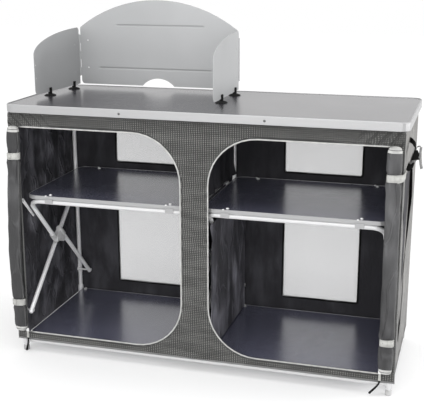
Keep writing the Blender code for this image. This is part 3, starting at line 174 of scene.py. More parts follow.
class Link:
    """A socket's output that can stand in sums, as a number does."""

    def __init__(self, finish, socket):
        self.finish, self.socket = finish, socket

    def maths(self, operation, *others):
        return self.finish.node("ShaderNodeMath", {"operation": operation}, dict(enumerate((self, *others))))

    def __add__(self, other):
        return self.maths("ADD", other)

    def __sub__(self, other):
        return self.maths("SUBTRACT", other)

    def __mul__(self, other):
        return self.maths("MULTIPLY", other)

    __radd__ = __add__
    __rmul__ = __mul__

    def fit(self, low, high, to_low=0.0, to_high=1.0):
        return self.finish.node("ShaderNodeMapRange", {"interpolation_type": "SMOOTHSTEP"},
                                {"Value": self, "From Min": low, "From Max": high,
                                 "To Min": to_low, "To Max": to_high})


class Finish:
    """A material: its shader, the coordinates of its piece and the nodes between them."""

    def __init__(self, name, colour, roughness, **sockets):
        self.material = bpy.data.materials.new(name)
        self.material.use_nodes = True
        self.tree = self.material.node_tree
        self.shader = self.tree.nodes["Principled BSDF"]
        self.set(**{"Base Color": (*colour, 1.0), "Roughness": roughness, **sockets})
        self.material.diffuse_color = (*colour, 1.0)
        self.place = self.node("ShaderNodeTexCoord", {}, {}, "Object")

    def set(self, **sockets):
        for name, value in sockets.items():
            self.feed(self.shader.inputs[name], value)

    def feed(self, socket, value):
        if isinstance(value, Link):
            self.tree.links.new(value.socket, socket)
        else:
            socket.default_value = value

    def node(self, kind, settings, values, output=0):
        made = self.tree.nodes.new(kind)
        for name, value in settings.items():
            setattr(made, name, value)
        for name, value in values.items():
            self.feed(made.inputs[name], value)
        return Link(self, made.outputs[output])

    def noise(self, scale, detail=2.0, stretch=(1, 1, 1)):
        spot = self.node("ShaderNodeMapping", {}, {"Vector": self.place, "Scale": stretch})
        return self.node("ShaderNodeTexNoise", {}, {"Vector": spot, "Scale": scale, "Detail": detail})

    def axis(self, name):
        return self.node("ShaderNodeSeparateXYZ", {}, {"Vector": self.place}, name)

    def wave(self, value, pitch):
        """A smooth wave from 0 to 1 with this pitch in metres."""
        return (value * (math.tau / pitch)).maths("SINE") * 0.5 + 0.5

    def mix(self, share, near, far):
        return self.node("ShaderNodeMix", {"data_type": "RGBA"}, {"Factor": share, 6: near, 7: far}, 2)

    def bump(self, height, distance, strength=1.0):
        return self.node("ShaderNodeBump", {}, {"Height": height, "Distance": distance,
                                                "Strength": strength})


def sizes():
    """The adjustable sizes of the dressing."""
    return bpy.context.scene.kitchen_sizes


def grey(value, tint=(1.0, 1.0, 1.0)):
    return tuple(value * share for share in tint)


def rgba(colour):
    return (*colour, 1.0)


def scaled(colour, share):
    return tuple(min(value * share, 1.0) for value in colour)


# Finishes

def woven(name, colour, fleck, pitch):
    """Ribbed outdoor fabric: staggered flecks on a dark ground, soft tension wrinkles, and painted shade in the
    wrinkles, the corner creases and under the rim.
    """
    finish = Finish(name, colour, 0.85, **{"Sheen Weight": 0.15})
    x, y, z = (finish.axis(letter) for letter in "XYZ")
    along = x + y
    rib = finish.wave(along, pitch)
    rows = finish.wave(z + rib * (pitch * 0.5), pitch * 0.8)
    dots = (rib * rows).fit(0.25, 0.75)
    cloud = finish.noise(14.0, 3.0)
    fine = finish.noise(420.0, 2.0)
    level = finish.noise(13.0, 3.0, (0.8, 1.0, 4.0)).fit(0.42, 0.66)
    outward = x.maths("ABSOLUTE")
    crease = finish.wave(outward - z * 0.9 + cloud * 0.03, 32 * MM).fit(0.0, 0.35, 1.0, 0.0)
    corner = (outward.fit(DOOR_OUTER_X - 150 * MM, DOOR_OUTER_X - 20 * MM)
              * z.fit(DOOR_HIGH - 10 * MM, DOOR_HIGH + 8 * MM))
    # Painted shade: the level tension wrinkles, the slanted creases at the upper corners and a band below the worktop
    # rim darken the colour; the wrinkles and creases are also bumps.
    shade = level * 0.22 + z.fit(DOOR_HIGH, COVER_HIGH.z, 0.0, 0.4) + crease * corner * 0.5
    share = dots * (fine * 0.9 + 0.45) + cloud * 0.12 - shade
    finish.set(**{"Base Color": finish.mix(share, rgba(colour), rgba(fleck))})
    wrinkle = finish.noise(9.0, 3.0, (1.0, 1.0, 3.2)) * 0.8 + finish.noise(26.0, 2.0, (1.0, 1.0, 2.5)) * 0.2
    height = wrinkle + rib * rows * 0.008 - crease * corner * 0.2 - level * 0.1
    finish.set(Normal=finish.bump(height, 22 * MM), Roughness=cloud.fit(0.3, 0.7, 0.78, 0.92))
    return finish.material


def smooth_cloth(name, colour, fold_highlight, gloss=0.4, upright=0.36, ridges=0.16):
    """Plain woven fabric with long soft folds and a fine thread; the folds and thin ridges are bumps and also carry a
    painted highlight colour.
    """
    finish = Finish(name, colour, 0.72, **{"Specular IOR Level": gloss})
    fold = finish.noise(17.0, 4.0, (1.0, 1.0, upright))
    thread = finish.noise(900.0, 1.0, (1.0, 1.0, 0.3))
    patch = finish.noise(6.0, 2.0, (1.0, 1.0, 0.7)).fit(0.36, 0.64, 0.15, 1.0)
    ridge = (finish.noise(15.0, 2.0, (1.0, 1.0, upright)) - 0.5).maths("ABSOLUTE").fit(0.0, 0.035, 1.0, 0.0)
    # Painted highlight: the folds and ridges shift the colour towards the lighter highlight colour given for the
    # cloth.
    share = fold.fit(0.36, 0.66) * patch * 0.8 + thread * 0.15 + ridge * ridges
    finish.set(**{"Base Color": finish.mix(share, rgba(colour), rgba(fold_highlight))})
    finish.set(Normal=finish.bump(fold * 0.9 + ridge * (ridges * 1.4) + finish.noise(48.0, 2.0, (1.0, 1.0, 0.5)) * 0.22
                                  + thread * 0.01, 14 * MM),
               Roughness=fold.fit(0.3, 0.7, 0.62, 0.82))
    return finish.material


def laminate(name, colour, bright, roughness, coats, ior=1.5):
    """Laminated board: a fine print of specks under a satin film."""
    finish = Finish(name, colour, roughness, **{"Coat Roughness": 0.24, "Coat IOR": ior})
    speck = finish.noise(520.0, 2.0)
    cloud = finish.noise(5.0, 2.0)
    share = speck.fit(0.45, 0.7) * 0.6 + cloud * 0.4
    finish.set(**{"Base Color": finish.mix(share, rgba(colour), rgba(bright))})
    finish.set(**{"Coat Weight": finish.axis("X").fit(TOP_LOW.x, TOP_HIGH.x, *coats)})
    finish.set(Roughness=(speck * 0.12 + cloud * 0.1) + (roughness - 0.1),
               Normal=finish.bump(speck * 0.05 + finish.noise(60.0, 1.0) * 0.04, 1 * MM))
    return finish.material


def metal(name, colour, roughness, stretch=(1, 1, 1), metallic=1.0, front_shade=1.0):
    """Anodised aluminium: drawn lines along the profile, faint marks, and painted shade that darkens the front parts.
    """
    finish = Finish(name, colour, roughness, Metallic=metallic)
    lines = finish.noise(180.0, 3.0, stretch)
    marks = finish.noise(24.0, 4.0)
    # Painted shade: parts near the front row of posts are mixed towards a darker copy of the colour.
    front = finish.axis("Y").fit(MIDDLE_Y - POST_Y, MIDDLE_Y - POST_Y + 50 * MM, 1.0, 0.0)
    base = finish.mix(marks.fit(0.3, 0.7) * 0.6 + lines * 0.4, rgba(scaled(colour, 0.93)), rgba(colour))
    finish.set(**{"Base Color": finish.mix(front, base, rgba(scaled(colour, front_shade)))})
    finish.set(Roughness=lines * 0.14 + marks * 0.12 + (roughness - 0.13),
               Normal=finish.bump(lines, 0.25 * MM, 0.6))
    return finish.material


def painted(name, colour, roughness, creases=()):
    """Satin paint on thin sheet with a fine orange peel, over shallow stiffening creases if there are any, which also
    get painted shade.
    """
    finish = Finish(name, colour, roughness, Metallic=0.1, **{"Coat Weight": 0.06, "Coat Roughness": 0.4})
    peel, cloud = finish.noise(340.0, 2.0), finish.noise(4.0, 2.0)
    base = finish.mix(cloud.fit(0.3, 0.7), rgba(colour), rgba(scaled(colour, 1.12)))
    height, depth = peel, 0.12 * MM
    if creases:
        x, z = finish.axis("X"), finish.axis("Z")
        dip = 0.0
        for start, end, rise in creases:
            across = (z - (SHIELD_LOW.z + rise)).maths("ABSOLUTE").fit(0.0, sizes().crease_width, 1.0, 0.0)
            dip += across * (x.fit(start, start + 12 * MM) * x.fit(end - 12 * MM, end, 1.0, 0.0))
        # Painted shade: the creases are mixed towards a darker copy of the paint.
        base = finish.mix(dip * 0.55, base, rgba(scaled(colour, 0.72)))
        height, depth = peel * 0.06 - dip, 1.2 * MM
    finish.set(**{"Base Color": base}, Roughness=cloud * 0.14 + (roughness - 0.07), Normal=finish.bump(height, depth))
    return finish.material


def moulded(name, colour, roughness, gloss=0.25):
    """Moulded plastic or rubber with a fine spark grain and rubbed spots."""
    finish = Finish(name, colour, roughness, **{"Specular IOR Level": gloss})
    spark, rub = finish.noise(260.0, 3.0), finish.noise(30.0, 2.0)
    finish.set(**{"Base Color": finish.mix(rub.fit(0.35, 0.75), rgba(colour), rgba(scaled(colour, 1.35)))})
    finish.set(Roughness=rub * 0.2 + (roughness - 0.1), Normal=finish.bump(spark, 0.2 * MM))
    return finish.material


def tape(name, colour, dark, pitch=1.6 * MM, roll_shade_share=0.0):
    """Woven tape with fine cross ribs; beside a rolled door it can take painted shade."""
    finish = Finish(name, colour, 0.8, **{"Specular IOR Level": 0.15})
    along = finish.axis("X") + finish.axis("Y") + finish.axis("Z")
    rib = finish.wave(along, pitch)
    wear = finish.noise(60.0, 3.0)
    # Painted shade: towards the outer edge of a doorway, where the rolled door stands in front, the tape is mixed
    # towards dark grey.
    roll_shade = finish.axis("X").maths("ABSOLUTE").fit(DOOR_OUTER_X - 20 * MM, DOOR_OUTER_X - 2 * MM, 0.0, roll_shade_share)
    share = rib * 0.35 + wear.fit(0.35, 0.7) * 0.4
    finish.set(**{"Base Color": finish.mix(roll_shade, finish.mix(share, rgba(colour), rgba(dark)), rgba(grey(0.1)))})
    finish.set(Roughness=wear * 0.15 + 0.72, Normal=finish.bump(rib + wear * 0.4, 0.5 * MM))
    return finish.material


def net(name, colour, clear):
    """Insect net: a fine even mesh of threads with open holes."""
    finish = Finish(name, colour, 0.8)
    x, z = finish.axis("X"), finish.axis("Z")
    threads = finish.wave(x, 2.4 * MM).maths("MAXIMUM", finish.wave(z, 2.4 * MM))
    haze = finish.noise(7.0, 2.0)
    cover = threads.fit(0.35, 0.95) * 0.12 + haze * 0.08 + (0.8 - clear)
    finish.set(Alpha=cover, Normal=finish.bump(threads, 0.3 * MM))
    finish.set(**{"Base Color": finish.mix(haze.fit(0.3, 0.7), rgba(scaled(colour, 0.9)), rgba(colour))})
    finish.set(Roughness=haze * 0.2 + 0.7)
    return finish.material


FINISHES = {}


def finish_of(name):
    """A finish is made when the first piece asks for it."""
    if name not in FINISHES:
        hues = bpy.context.scene.kitchen_colours
        makers = {
            # Painted shade darkens the front of the frame tubes to 0.6 of their colour; the legs and arms keep their
            # own colour.
            "tube": lambda: metal("satin tube", hues.tube, 0.46, (1.0, 1.0, 0.06), 0.25, 0.6),
            "leg": lambda: metal("bright satin tube", hues.tube, 0.46, (1.0, 1.0, 0.06), 0.25),
            "rim": lambda: metal("anodised rim", hues.rim, 0.36, (0.04, 0.04, 1.0), 0.4),
            # The shelf rims are the worktop rim's anodising, 5 % darker as painted shade.
            "shelf rim": lambda: metal("shelf rim", scaled(hues.rim, 0.95), 0.36,
                                       (0.04, 0.04, 1.0), 0.4),
            "steel": lambda: metal("bright rivet", grey(0.86), 0.3, (1, 1, 1), 0.1),
            "dark steel": lambda: metal("dark screw", grey(0.12), 0.35),
            "worktop": lambda: laminate("worktop laminate", hues.worktop, grey(0.05, (1.0, 0.95, 1.06)),
                                        0.24, (0.26, 0.48)),
            "shelf": lambda: laminate("shelf laminate", hues.shelf, grey(0.12, (0.9, 0.92, 1.3)), 0.24,
                                      (1.0, 0.85), 2.0),
            "cover": lambda: woven("ribbed cover fabric", hues.cover, hues.fleck, 6.8 * MM),
            "door": lambda: smooth_cloth("door fabric", hues.door, grey(0.135, (1.0, 1.0, 1.03)), 0.4, 0.26),
            "wall": lambda: smooth_cloth("side wall fabric", hues.wall, grey(0.24, (1.02, 1.0, 0.97))),
            "lining": lambda: smooth_cloth("black lining", hues.lining, grey(0.07, (0.97, 0.96, 1.08)), 0.12,
                                           0.36, 0.02),
            "curtain": lambda: smooth_cloth("black curtain", hues.curtain, grey(0.27, (0.96, 0.95, 1.08)), 0.12),
            "wall lining": lambda: smooth_cloth("wall lining", hues.curtain, grey(0.17, (0.97, 0.96, 1.08)),
                                                0.12, 0.6),
            "webbing": lambda: tape("light webbing", hues.webbing, grey(0.36, (1.0, 1.0, 0.97))),
            "zip": lambda: tape("zip", grey(0.6, (1.0, 1.0, 0.97)), grey(0.3), 2.2 * MM, 0.85),
            "roll tape": lambda: tape("roll tape", grey(0.6, (1.0, 1.0, 0.97)), grey(0.34), 2.2 * MM),
            "door edge": lambda: tape("door edge tape", grey(0.14), grey(0.08), 2.2 * MM),
            "seam": lambda: tape("seam line", grey(0.06), grey(0.03)),
            "binding": lambda: tape("black binding", grey(0.01), grey(0.006)),
            "piping": lambda: tape("light piping", grey(0.26), grey(0.18)),
            "net": lambda: net("window net", hues.net, 0.55),
            "block": lambda: moulded("light grey plastic", hues.block, 0.45),
            "foot": lambda: moulded("foot plastic", grey(0.34), 0.5),
            "black": lambda: moulded("black plastic", grey(0.004), 0.7, 0.06),
            "cup": lambda: moulded("black rubber", grey(0.006), 0.6, 0.1),
            "cord": lambda: tape("black cord", grey(0.003), grey(0.008), 1.1 * MM),
            "sheet": lambda: painted("painted sheet", hues.sheet, 0.5),
            "creased": lambda: painted("creased painted sheet", hues.sheet, 0.5, CREASES),
        }
        FINISHES[name] = makers[name]()
    return FINISHES[name]


# Making pieces

def in_mm(points):
    return [tuple(value * MM for value in point) for point in points]


def parts_of(out, kind):
    return [item for item in out["geom"] if isinstance(item, kind)]


def edges_among(out, verts):
    return [edge for edge in parts_of(out, bmesh.types.BMEdge) if all(vert in verts for vert in edge.verts)]


def round_edges(bm, edges, radius, steps):
    bmesh.ops.bevel(bm, geom=edges, offset=radius, segments=steps, profile=0.5, affect="EDGES", material=-1)


def block(size):
    bm = bmesh.new()
    bmesh.ops.create_cube(bm, size=1.0)
    bmesh.ops.scale(bm, vec=size, verts=bm.verts[:])
    return bm


def new_piece(name, bm, body, slot, *finishes, smooth=True):
    mesh = bpy.data.meshes.new(name)
    bm.to_mesh(mesh)
    bm.free()
    for finish in finishes:
        mesh.materials.append(finish_of(finish))
    if smooth:
        mesh.shade_smooth()
    piece = bpy.data.objects.new(name, mesh)
    bpy.context.scene.collection.objects.link(piece)
    if body:
        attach(piece, body)
    return piece


def thicken(piece, thickness, offset=-1.0, inner_slot=0):
    step = piece.modifiers.new("thickness", "SOLIDIFY")
    step.thickness, step.offset = thickness, offset
    step.material_offset, step.material_offset_rim = inner_slot, 0
    return piece


def subdivide(piece, levels=1):
    step = piece.modifiers.new("smoothness", "SUBSURF")
    step.levels = step.render_levels = levels
    return piece


def cloth(low, high, cell, outward):
    """An even grid of fabric between two corners that share one coordinate."""
    low, high, outward = Vector(low), Vector(high), Vector(outward)
    size, middle = high - low, (low + high) / 2
    flat = min(range(3), key=lambda index: abs(size[index]))
    first, second = (index for index in range(3) if index != flat)
    bm = bmesh.new()
    bmesh.ops.create_grid(bm, x_segments=round(abs(size[first]) / cell), y_segments=round(abs(size[second]) / cell),
                          size=0.5)
    for vert in bm.verts:
        spot = middle.copy()
        spot[first] += vert.co.x * size[first]
        spot[second] += vert.co.y * size[second]
        vert.co = spot
    bm.normal_update()
    bm.faces.ensure_lookup_table()
    if bm.faces[0].normal.dot(outward) < 0:
        bmesh.ops.reverse_faces(bm, faces=bm.faces[:])
    return bm


def edge_distance(across, up, hole):
    """How far a spot lies outside a rounded opening; below zero inside it."""
    low, high, inner_round, outer_round = hole
    corner = inner_round if across < (low[0] + high[0]) / 2 else outer_round
    reach_x = abs(across - (low[0] + high[0]) / 2) - (high[0] - low[0]) / 2 + corner
    reach_z = abs(up - (low[1] + high[1]) / 2) - (high[1] - low[1]) / 2 + corner
    return math.hypot(max(reach_x, 0.0), max(reach_z, 0.0)) + min(max(reach_x, reach_z), 0.0) - corner


def cut_openings(bm, openings, cell):
    """Take out the grid inside each opening and draw its border onto the true outline."""
    for side, holes in openings.items():
        for hole in holes:
            inside = [face for face in bm.faces
                      if edge_distance(face.calc_center_median().x * side, face.calc_center_median().z, hole) < 0]
            bmesh.ops.delete(bm, geom=inside, context="FACES")
            for vert in bm.verts:
                if not vert.is_boundary or vert.co.x * side < 0:
                    continue
                for _ in range(3):
                    away = edge_distance(vert.co.x * side, vert.co.z, hole)
                    if abs(away) > 2 * cell:
                        break
                    step = MM / 10
                    slope_x = (edge_distance(vert.co.x * side + step, vert.co.z, hole)
                               - edge_distance(vert.co.x * side - step, vert.co.z, hole)) / (2 * step)
                    slope_z = (edge_distance(vert.co.x * side, vert.co.z + step, hole)
                               - edge_distance(vert.co.x * side, vert.co.z - step, hole)) / (2 * step)
                    vert.co.x -= side * away * slope_x
                    vert.co.z -= away * slope_z


def outline_face(bm, side, hole, plane_y):
    """A flat face with the outline of an opening, its corners rounded."""
    low, high, inner_round, outer_round = hole
    spots = ((low[0], low[1], inner_round), (high[0], low[1], outer_round),
             (high[0], high[1], outer_round), (low[0], high[1], inner_round))
    verts = [bm.verts.new((side * across, plane_y, up)) for across, up, _ in spots]
    face = bm.faces.new(verts)
    for vert, (_, _, radius) in zip(verts, spots):
        bmesh.ops.bevel(bm, geom=[vert], offset=radius, offset_type="OFFSET", segments=10, profile=0.5,
                        affect="VERTICES", material=-1)
    bm.faces.ensure_lookup_table()
    return bm.faces[-1] if not face.is_valid else face


def grown(hole, width):
    low, high, inner_round, outer_round = hole
    return ((low[0] - width, low[1] - width), (high[0] + width, high[1] + width), inner_round + width,
            outer_round + width)


def opening_band(name, side, hole, plane_y, width, proud, way, body, slot, finish, push=None):
    """A raised band that follows the border of an opening, outside it."""
    bm = bmesh.new()
    face = outline_face(bm, side, grown(hole, width), plane_y)
    bmesh.ops.inset_region(bm, faces=[face], thickness=width, use_boundary=True, use_even_offset=True)
    bmesh.ops.delete(bm, geom=[face], context="FACES_ONLY")
    out = bmesh.ops.extrude_face_region(bm, geom=bm.faces[:])
    raised = parts_of(out, bmesh.types.BMVert)
    bmesh.ops.translate(bm, verts=raised, vec=(0, way * proud, 0))
    bmesh.ops.recalc_face_normals(bm, faces=bm.faces[:])
    edges = [edge for edge in bm.edges if all(vert in raised for vert in edge.verts)
             and edge.calc_face_angle(0.0) > 0.5]
    round_edges(bm, edges, proud * 0.45, 2)
    if push:
        bmesh.ops.subdivide_edges(bm, edges=[edge for edge in bm.edges if edge.calc_length() > 60 * MM], cuts=9)
        for vert in bm.verts:
            vert.co.x += push(side, vert.co.x, vert.co.z)
    return new_piece(name, bm, body, slot, finish)


def turned(name, profile, place, axis, body, slot, *finishes, facets=24):
    """A turned piece: a profile of radius and height spun about an axis through a place."""
    bm = bmesh.new()
    verts = [bm.verts.new((radius, 0, height)) for radius, height in profile]
    for near, far in zip(verts, verts[1:]):
        bm.edges.new((near, far))
    bmesh.ops.spin(bm, geom=bm.verts[:] + bm.edges[:], cent=(0, 0, 0), axis=(0, 0, 1), dvec=(0, 0, 0),
                   angle=math.tau, steps=facets, use_merge=True)
    bmesh.ops.remove_doubles(bm, verts=bm.verts[:], dist=MM / 100)
    bmesh.ops.recalc_face_normals(bm, faces=bm.faces[:])
    way = Vector((0, 0, 1)).rotation_difference(Vector(axis)).to_matrix().to_4x4()
    bmesh.ops.transform(bm, matrix=Matrix.Translation(Vector(place)) @ way, verts=bm.verts[:])
    piece = new_piece(name, bm, body, slot, *finishes)
    piece.data.set_sharp_from_angle(angle=math.radians(38))
    return piece


def cord_along(name, points, radius, body, finish, tip=1.0):
    """A round trim along a smooth line."""
    curve = bpy.data.curves.new(name, "CURVE")
    curve.dimensions = "3D"
    curve.bevel_depth = radius
    curve.bevel_resolution = 2
    curve.use_fill_caps = True
    line = curve.splines.new("POLY")
    line.points.add(len(points) - 1)
    for index, (knot, point) in enumerate(zip(line.points, points)):
        knot.co = (*point, 1.0)
        knot.radius = 1.0 + (tip - 1.0) * index / (len(points) - 1)
    curve.materials.append(finish_of(finish))
    piece = bpy.data.objects.new(name, curve)
    bpy.context.scene.collection.objects.link(piece)
    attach(piece, body)
    return piece


def ribbon(name, path, width_way, width, thickness, body, slot, finish):
    """A flat band along a path, from a cross edge that is extruded from point to point."""
    bm = bmesh.new()
    half = Vector(width_way).normalized() * width / 2
    ends = [bm.verts.new(Vector(path[0]) - half), bm.verts.new(Vector(path[0]) + half)]
    edge = bm.edges.new(ends)
    for near, far in zip(path, path[1:]):
        out = bmesh.ops.extrude_edge_only(bm, edges=[edge])
        verts = parts_of(out, bmesh.types.BMVert)
        bmesh.ops.translate(bm, verts=verts, vec=Vector(far) - Vector(near))
        edge = edges_among(out, verts)[0]
    bmesh.ops.recalc_face_normals(bm, faces=bm.faces[:])
    piece = new_piece(name, bm, body, slot, finish)
    return thicken(piece, thickness, 0.0)


def soft(x, y, z, scale):
    """A smooth random height at a spot, the same each run."""
    return noise.noise(Vector((x * scale, y * scale, z * scale)))


# Frame pieces that keep their solid

def dress_frame():
    both = ("left", "right")
    plain = {
        "tube": [f"{row}_{part}" for row in ("front", "rear") for part in
                 ("post_left", "post_right", "post_centre", "top_rail", "bottom_rail")]
                + ["front_hoop_" + side for side in both],
        "leg": [part + side for part in ("rear_hoop_", "lower_leg_", "stay_link_") for side in both],
        "rim": ["worktop_rim"] + ["shield_hinge_pin_" + side for side in both],
        "shelf rim": [part + side for part in ("mid_shelf_rim_", "bottom_shelf_rim_") for side in both],
        "worktop": ["worktop_board"],
        "shelf": [part + side for part in ("mid_shelf_board_", "bottom_shelf_board_") for side in both],
        "block": ["pivot_block_" + side for side in both],
        "sheet": ["shield_wing_" + side for side in both],
        "creased": ["shield_back"],
        "cup": [f"suction_cup_{side}_{row}" for side in both for row in ("front", "rear")],
    }
    for finish, nodes in plain.items():
        for node in nodes:
            for index in range(len(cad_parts[node].material_slots)):
                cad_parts[node].material_slots[index].material = finish_of(finish)


def dress_fasteners():
    """Screws in the worktop rim, rivets of the tube clips, corner knobs and foot caps."""
    for index, place_x in enumerate(RIM_SCREWS):
        for label, plane, way in (("front", TOP_LOW.y, -1), ("rear", TOP_HIGH.y, 1)):
            turned(f"rim_screw_{label}_{index + 1}", in_mm(SCREW_HEAD),
                   (place_x, plane, TOP_HIGH.z - sizes().rim_screw_drop), (0, way, 0), "worktop", "rim", "dark steel")
    rivet = in_mm(RIVET)
    for label, side in SIDES:
        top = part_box("mid_shelf_board_" + label)[1].z
        for index, place_x in enumerate(RIVETS_X):
            for row, way in (("front", -1), ("rear", 1)):
                spot_x, spot_y = side * place_x, MIDDLE_Y + way * RIVETS_Y
                turned(f"clip_rivet_{label}_{row}_{index + 1}", rivet, (spot_x, spot_y, top), (0, 0, 1),
                       "mid_shelves", "rim", "steel", facets=16)
                turned(f"clip_screw_{label}_{row}_{index + 1}", [(radius * 0.7, rise * 0.7) for radius, rise in rivet],
                       (spot_x + RIVET_STEP[0], spot_y + way * RIVET_STEP[1], top), (0, 0, 1),
                       "mid_shelves", "rim", "steel", facets=16)
        low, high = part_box("bottom_shelf_rim_" + label)
        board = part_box("bottom_shelf_board_" + label)[1]
        for spot, place_x in (("left", low.x + sizes().knob_inset), ("right", high.x - sizes().knob_inset)):
            turned(f"corner_knob_{label}_{spot}", in_mm(KNOB),
                   (place_x, board.y - sizes().knob_inset + 4 * MM, board.z), (0, 0, 1), "bottom_shelf_" + label,
                   "rim", "foot", facets=16)
        cap = ((0.0, 0.0), (7.6 * MM, 0.0), (8.9 * MM, 1.0 * MM), (FOOT_RADIUS + GAP, 3 * MM),
               (FOOT_RADIUS + GAP, 11 * MM), (8.9 * MM, 12.2 * MM), (8.9 * MM, 13.4 * MM),
               (9.1 * MM, 14.2 * MM), (8.2 * MM, 16.5 * MM), (TUBE_RADIUS + GAP, 17.4 * MM), (TUBE_RADIUS, 17.4 * MM))
        for row, way, body in (("front", -1, "front_frame"), ("rear", 1, "rear_frame")):
            turned(f"foot_cap_{row}_{label}", cap, (side * POST_X, MIDDLE_Y + way * POST_Y, 0.0), (0, 0, 1), body,
                   "tube", "foot")


# Front cover

DOORWAYS = {side: ((DOOR_INNER_X[side], DOOR_LOW), (DOOR_OUTER_X, DOOR_HIGH), DOOR_ROUND, DOOR_SHARP)
            for _, side in SIDES}
WINDOWS = (((WINDOW_INNER_X, WINDOW_LOW), (WINDOW_OUTER_X, WINDOW_LOW_TOP), WINDOW_CORNER, WINDOW_CORNER),
           ((WINDOW_INNER_X, WINDOW_HIGH), (WINDOW_OUTER_X, WINDOW_HIGH_TOP), WINDOW_CORNER, WINDOW_CORNER))


def front_ripple(x, z):
    """Tension ripples: level ones on the centre strip, slanted ones at the upper corners."""
    level = math.sin(math.tau * (z + 0.1 * x) / (36 * MM) + 4 * soft(x, 0.0, z, 9.0)) * (0.7 + soft(x, 3.0, z, 8.0))
    strip = max(0.0, 1.0 - abs(x) / (150 * MM))
    fascia = max(0.0, min(1.0, (z - DOOR_HIGH) / (20 * MM)))
    slant = abs(math.sin(math.pi * (abs(x) - 0.9 * z) / (44 * MM) + 1.4 * soft(x, 0.0, z, 7.0))) ** 0.6
    corner = max(0.0, 1.0 - max(0.0, DOOR_OUTER_X - abs(x)) / (170 * MM))
    return (0.5 + 0.5 * level) * 3.2 * MM * strip + slant * 5 * MM * fascia * corner \
        + 1.4 * MM * (0.5 + 0.5 * soft(x, 0.0, z, 13.0))


def flare(side, x, z):
    """The outer borders of the front stand a little wider towards the feet."""
    down = (COVER_HIGH.z - z) / (COVER_HIGH.z - COVER_LOW.z)
    out = max(0.0, (abs(x) - FLARE_FROM) / (COVER_HIGH.x - FLARE_FROM))
    return side * COVER_FLARE[side] * out * max(0.0, down) ** 1.5


def dress_front_cover():
    bm = cloth((COVER_LOW.x, FRONT_Y, COVER_LOW.z), (COVER_HIGH.x, FRONT_Y, COVER_HIGH.z), sizes().cell, (0, -1, 0))
    cut_openings(bm, {side: (hole,) for side, hole in DOORWAYS.items()}, sizes().cell)
    for vert in bm.verts:
        side = -1 if vert.co.x < 0 else 1
        edge = min(abs(edge_distance(abs(vert.co.x), vert.co.z, DOORWAYS[side])), abs(vert.co.z - COVER_LOW.z),
                   abs(COVER_HIGH.z - vert.co.z)) / (12 * MM)
        vert.co.y -= front_ripple(vert.co.x, vert.co.z) * min(1.0, edge)
        vert.co.x += flare(side, vert.co.x, vert.co.z)
    cover = new_piece("front_cover_fabric", bm, "front_frame", "cover", "cover", "lining")
    thicken(cover, FABRIC - 0.2 * MM, -1.0, 1)
    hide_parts("front_cover")
    for label, side in SIDES:
        opening_band("door_zip_" + label, side, DOORWAYS[side], FRONT_Y, 4.2 * MM, 1.6 * MM, -1,
                                  "front_frame", "webbing", "zip", flare)
        opening_band("door_zip_tape_" + label, side, grown(DOORWAYS[side], 4.5 * MM), FRONT_Y, 4 * MM,
                                  0.7 * MM, -1, "front_frame", "cover", "seam", flare)
    for name, z, tall, finish in (("cover_hem_top", COVER_HIGH.z - 5 * MM, 9 * MM, "cover"),
                                  ("cover_hem_bottom", COVER_LOW.z + 3 * MM, 5 * MM, "piping")):
        ends = [edge + flare(side, edge, z) for edge, side in ((COVER_LOW.x, -1), (COVER_HIGH.x, 1))]
        path = [(x, FRONT_Y - 0.4 * MM, z) for x in (ends[0], 0.0, ends[1])]
        ribbon(name, path, (0, 0, 1), tall, 0.8 * MM, "front_frame", "cover", finish)
    for label, side in SIDES:
        for row, plane, body in (("front", FRONT_Y, "front_frame"), ("rear", BACK_HIGH.y, "rear_frame")):
            edge_x = side * (COVER_HIGH.x - sizes().piping_radius / 2)
            spots = [COVER_LOW.z + (COVER_HIGH.z - COVER_LOW.z) * step / 12 for step in range(13)]
            points = [(edge_x + (flare(side, edge_x, z) if row == "front" else 0.0), plane, z) for z in spots]
            cord_along(f"corner_piping_{row}_{label}", points, sizes().piping_radius, body, "piping")


# Rolled-up doors

def roll_share(height, low, high, straps):
    share = 1.0
    for strap in straps:
        away = abs(height - strap) / sizes().roll_cinch
        if away < 1:
            share = min(share, ROLL_CINCH_SHARE + (1 - ROLL_CINCH_SHARE) * away * away)
    for end in (low, high):
        near = abs(height - end) / sizes().roll_taper
        if near < 1:
            share = min(share, ROLL_TIP_SHARE + (1 - ROLL_TIP_SHARE) * math.sqrt(near * (2 - near)))
    return share


def roll_middle(side, height, low, high):
    down = (high - height) / (high - low)
    out, back = (min(max(share, 0.0), 1.0) for share in (down / ROLL_LEAN_SHARE,
                                                        (down - ROLL_LEAN_SHARE) / (1 - ROLL_LEAN_SHARE)))
    return side * (ROLL_X[side] + ROLL_LEAN[side] * out * out * (3 - 2 * out)
                   - ROLL_RETURN[side] * back * back * (3 - 2 * back))


def roll_heights(low, high, straps):
    """Even rows, with closer ones at both ends and about the straps."""
    spots = {round(low + (high - low) * row / ROLL_ROWS, 4) for row in range(ROLL_ROWS + 1)}
    spots |= {round(end + way * step * 2 * MM, 4) for end, way in ((low, 1), (high, -1)) for step in range(10)}
    spots |= {round(strap + step * 5 * MM, 4) for strap in straps for step in range(-6, 7)}
    rows = []
    for spot in sorted(spots):
        if not rows or spot - rows[-1] > 1.5 * MM:
            rows.append(spot)
    return rows


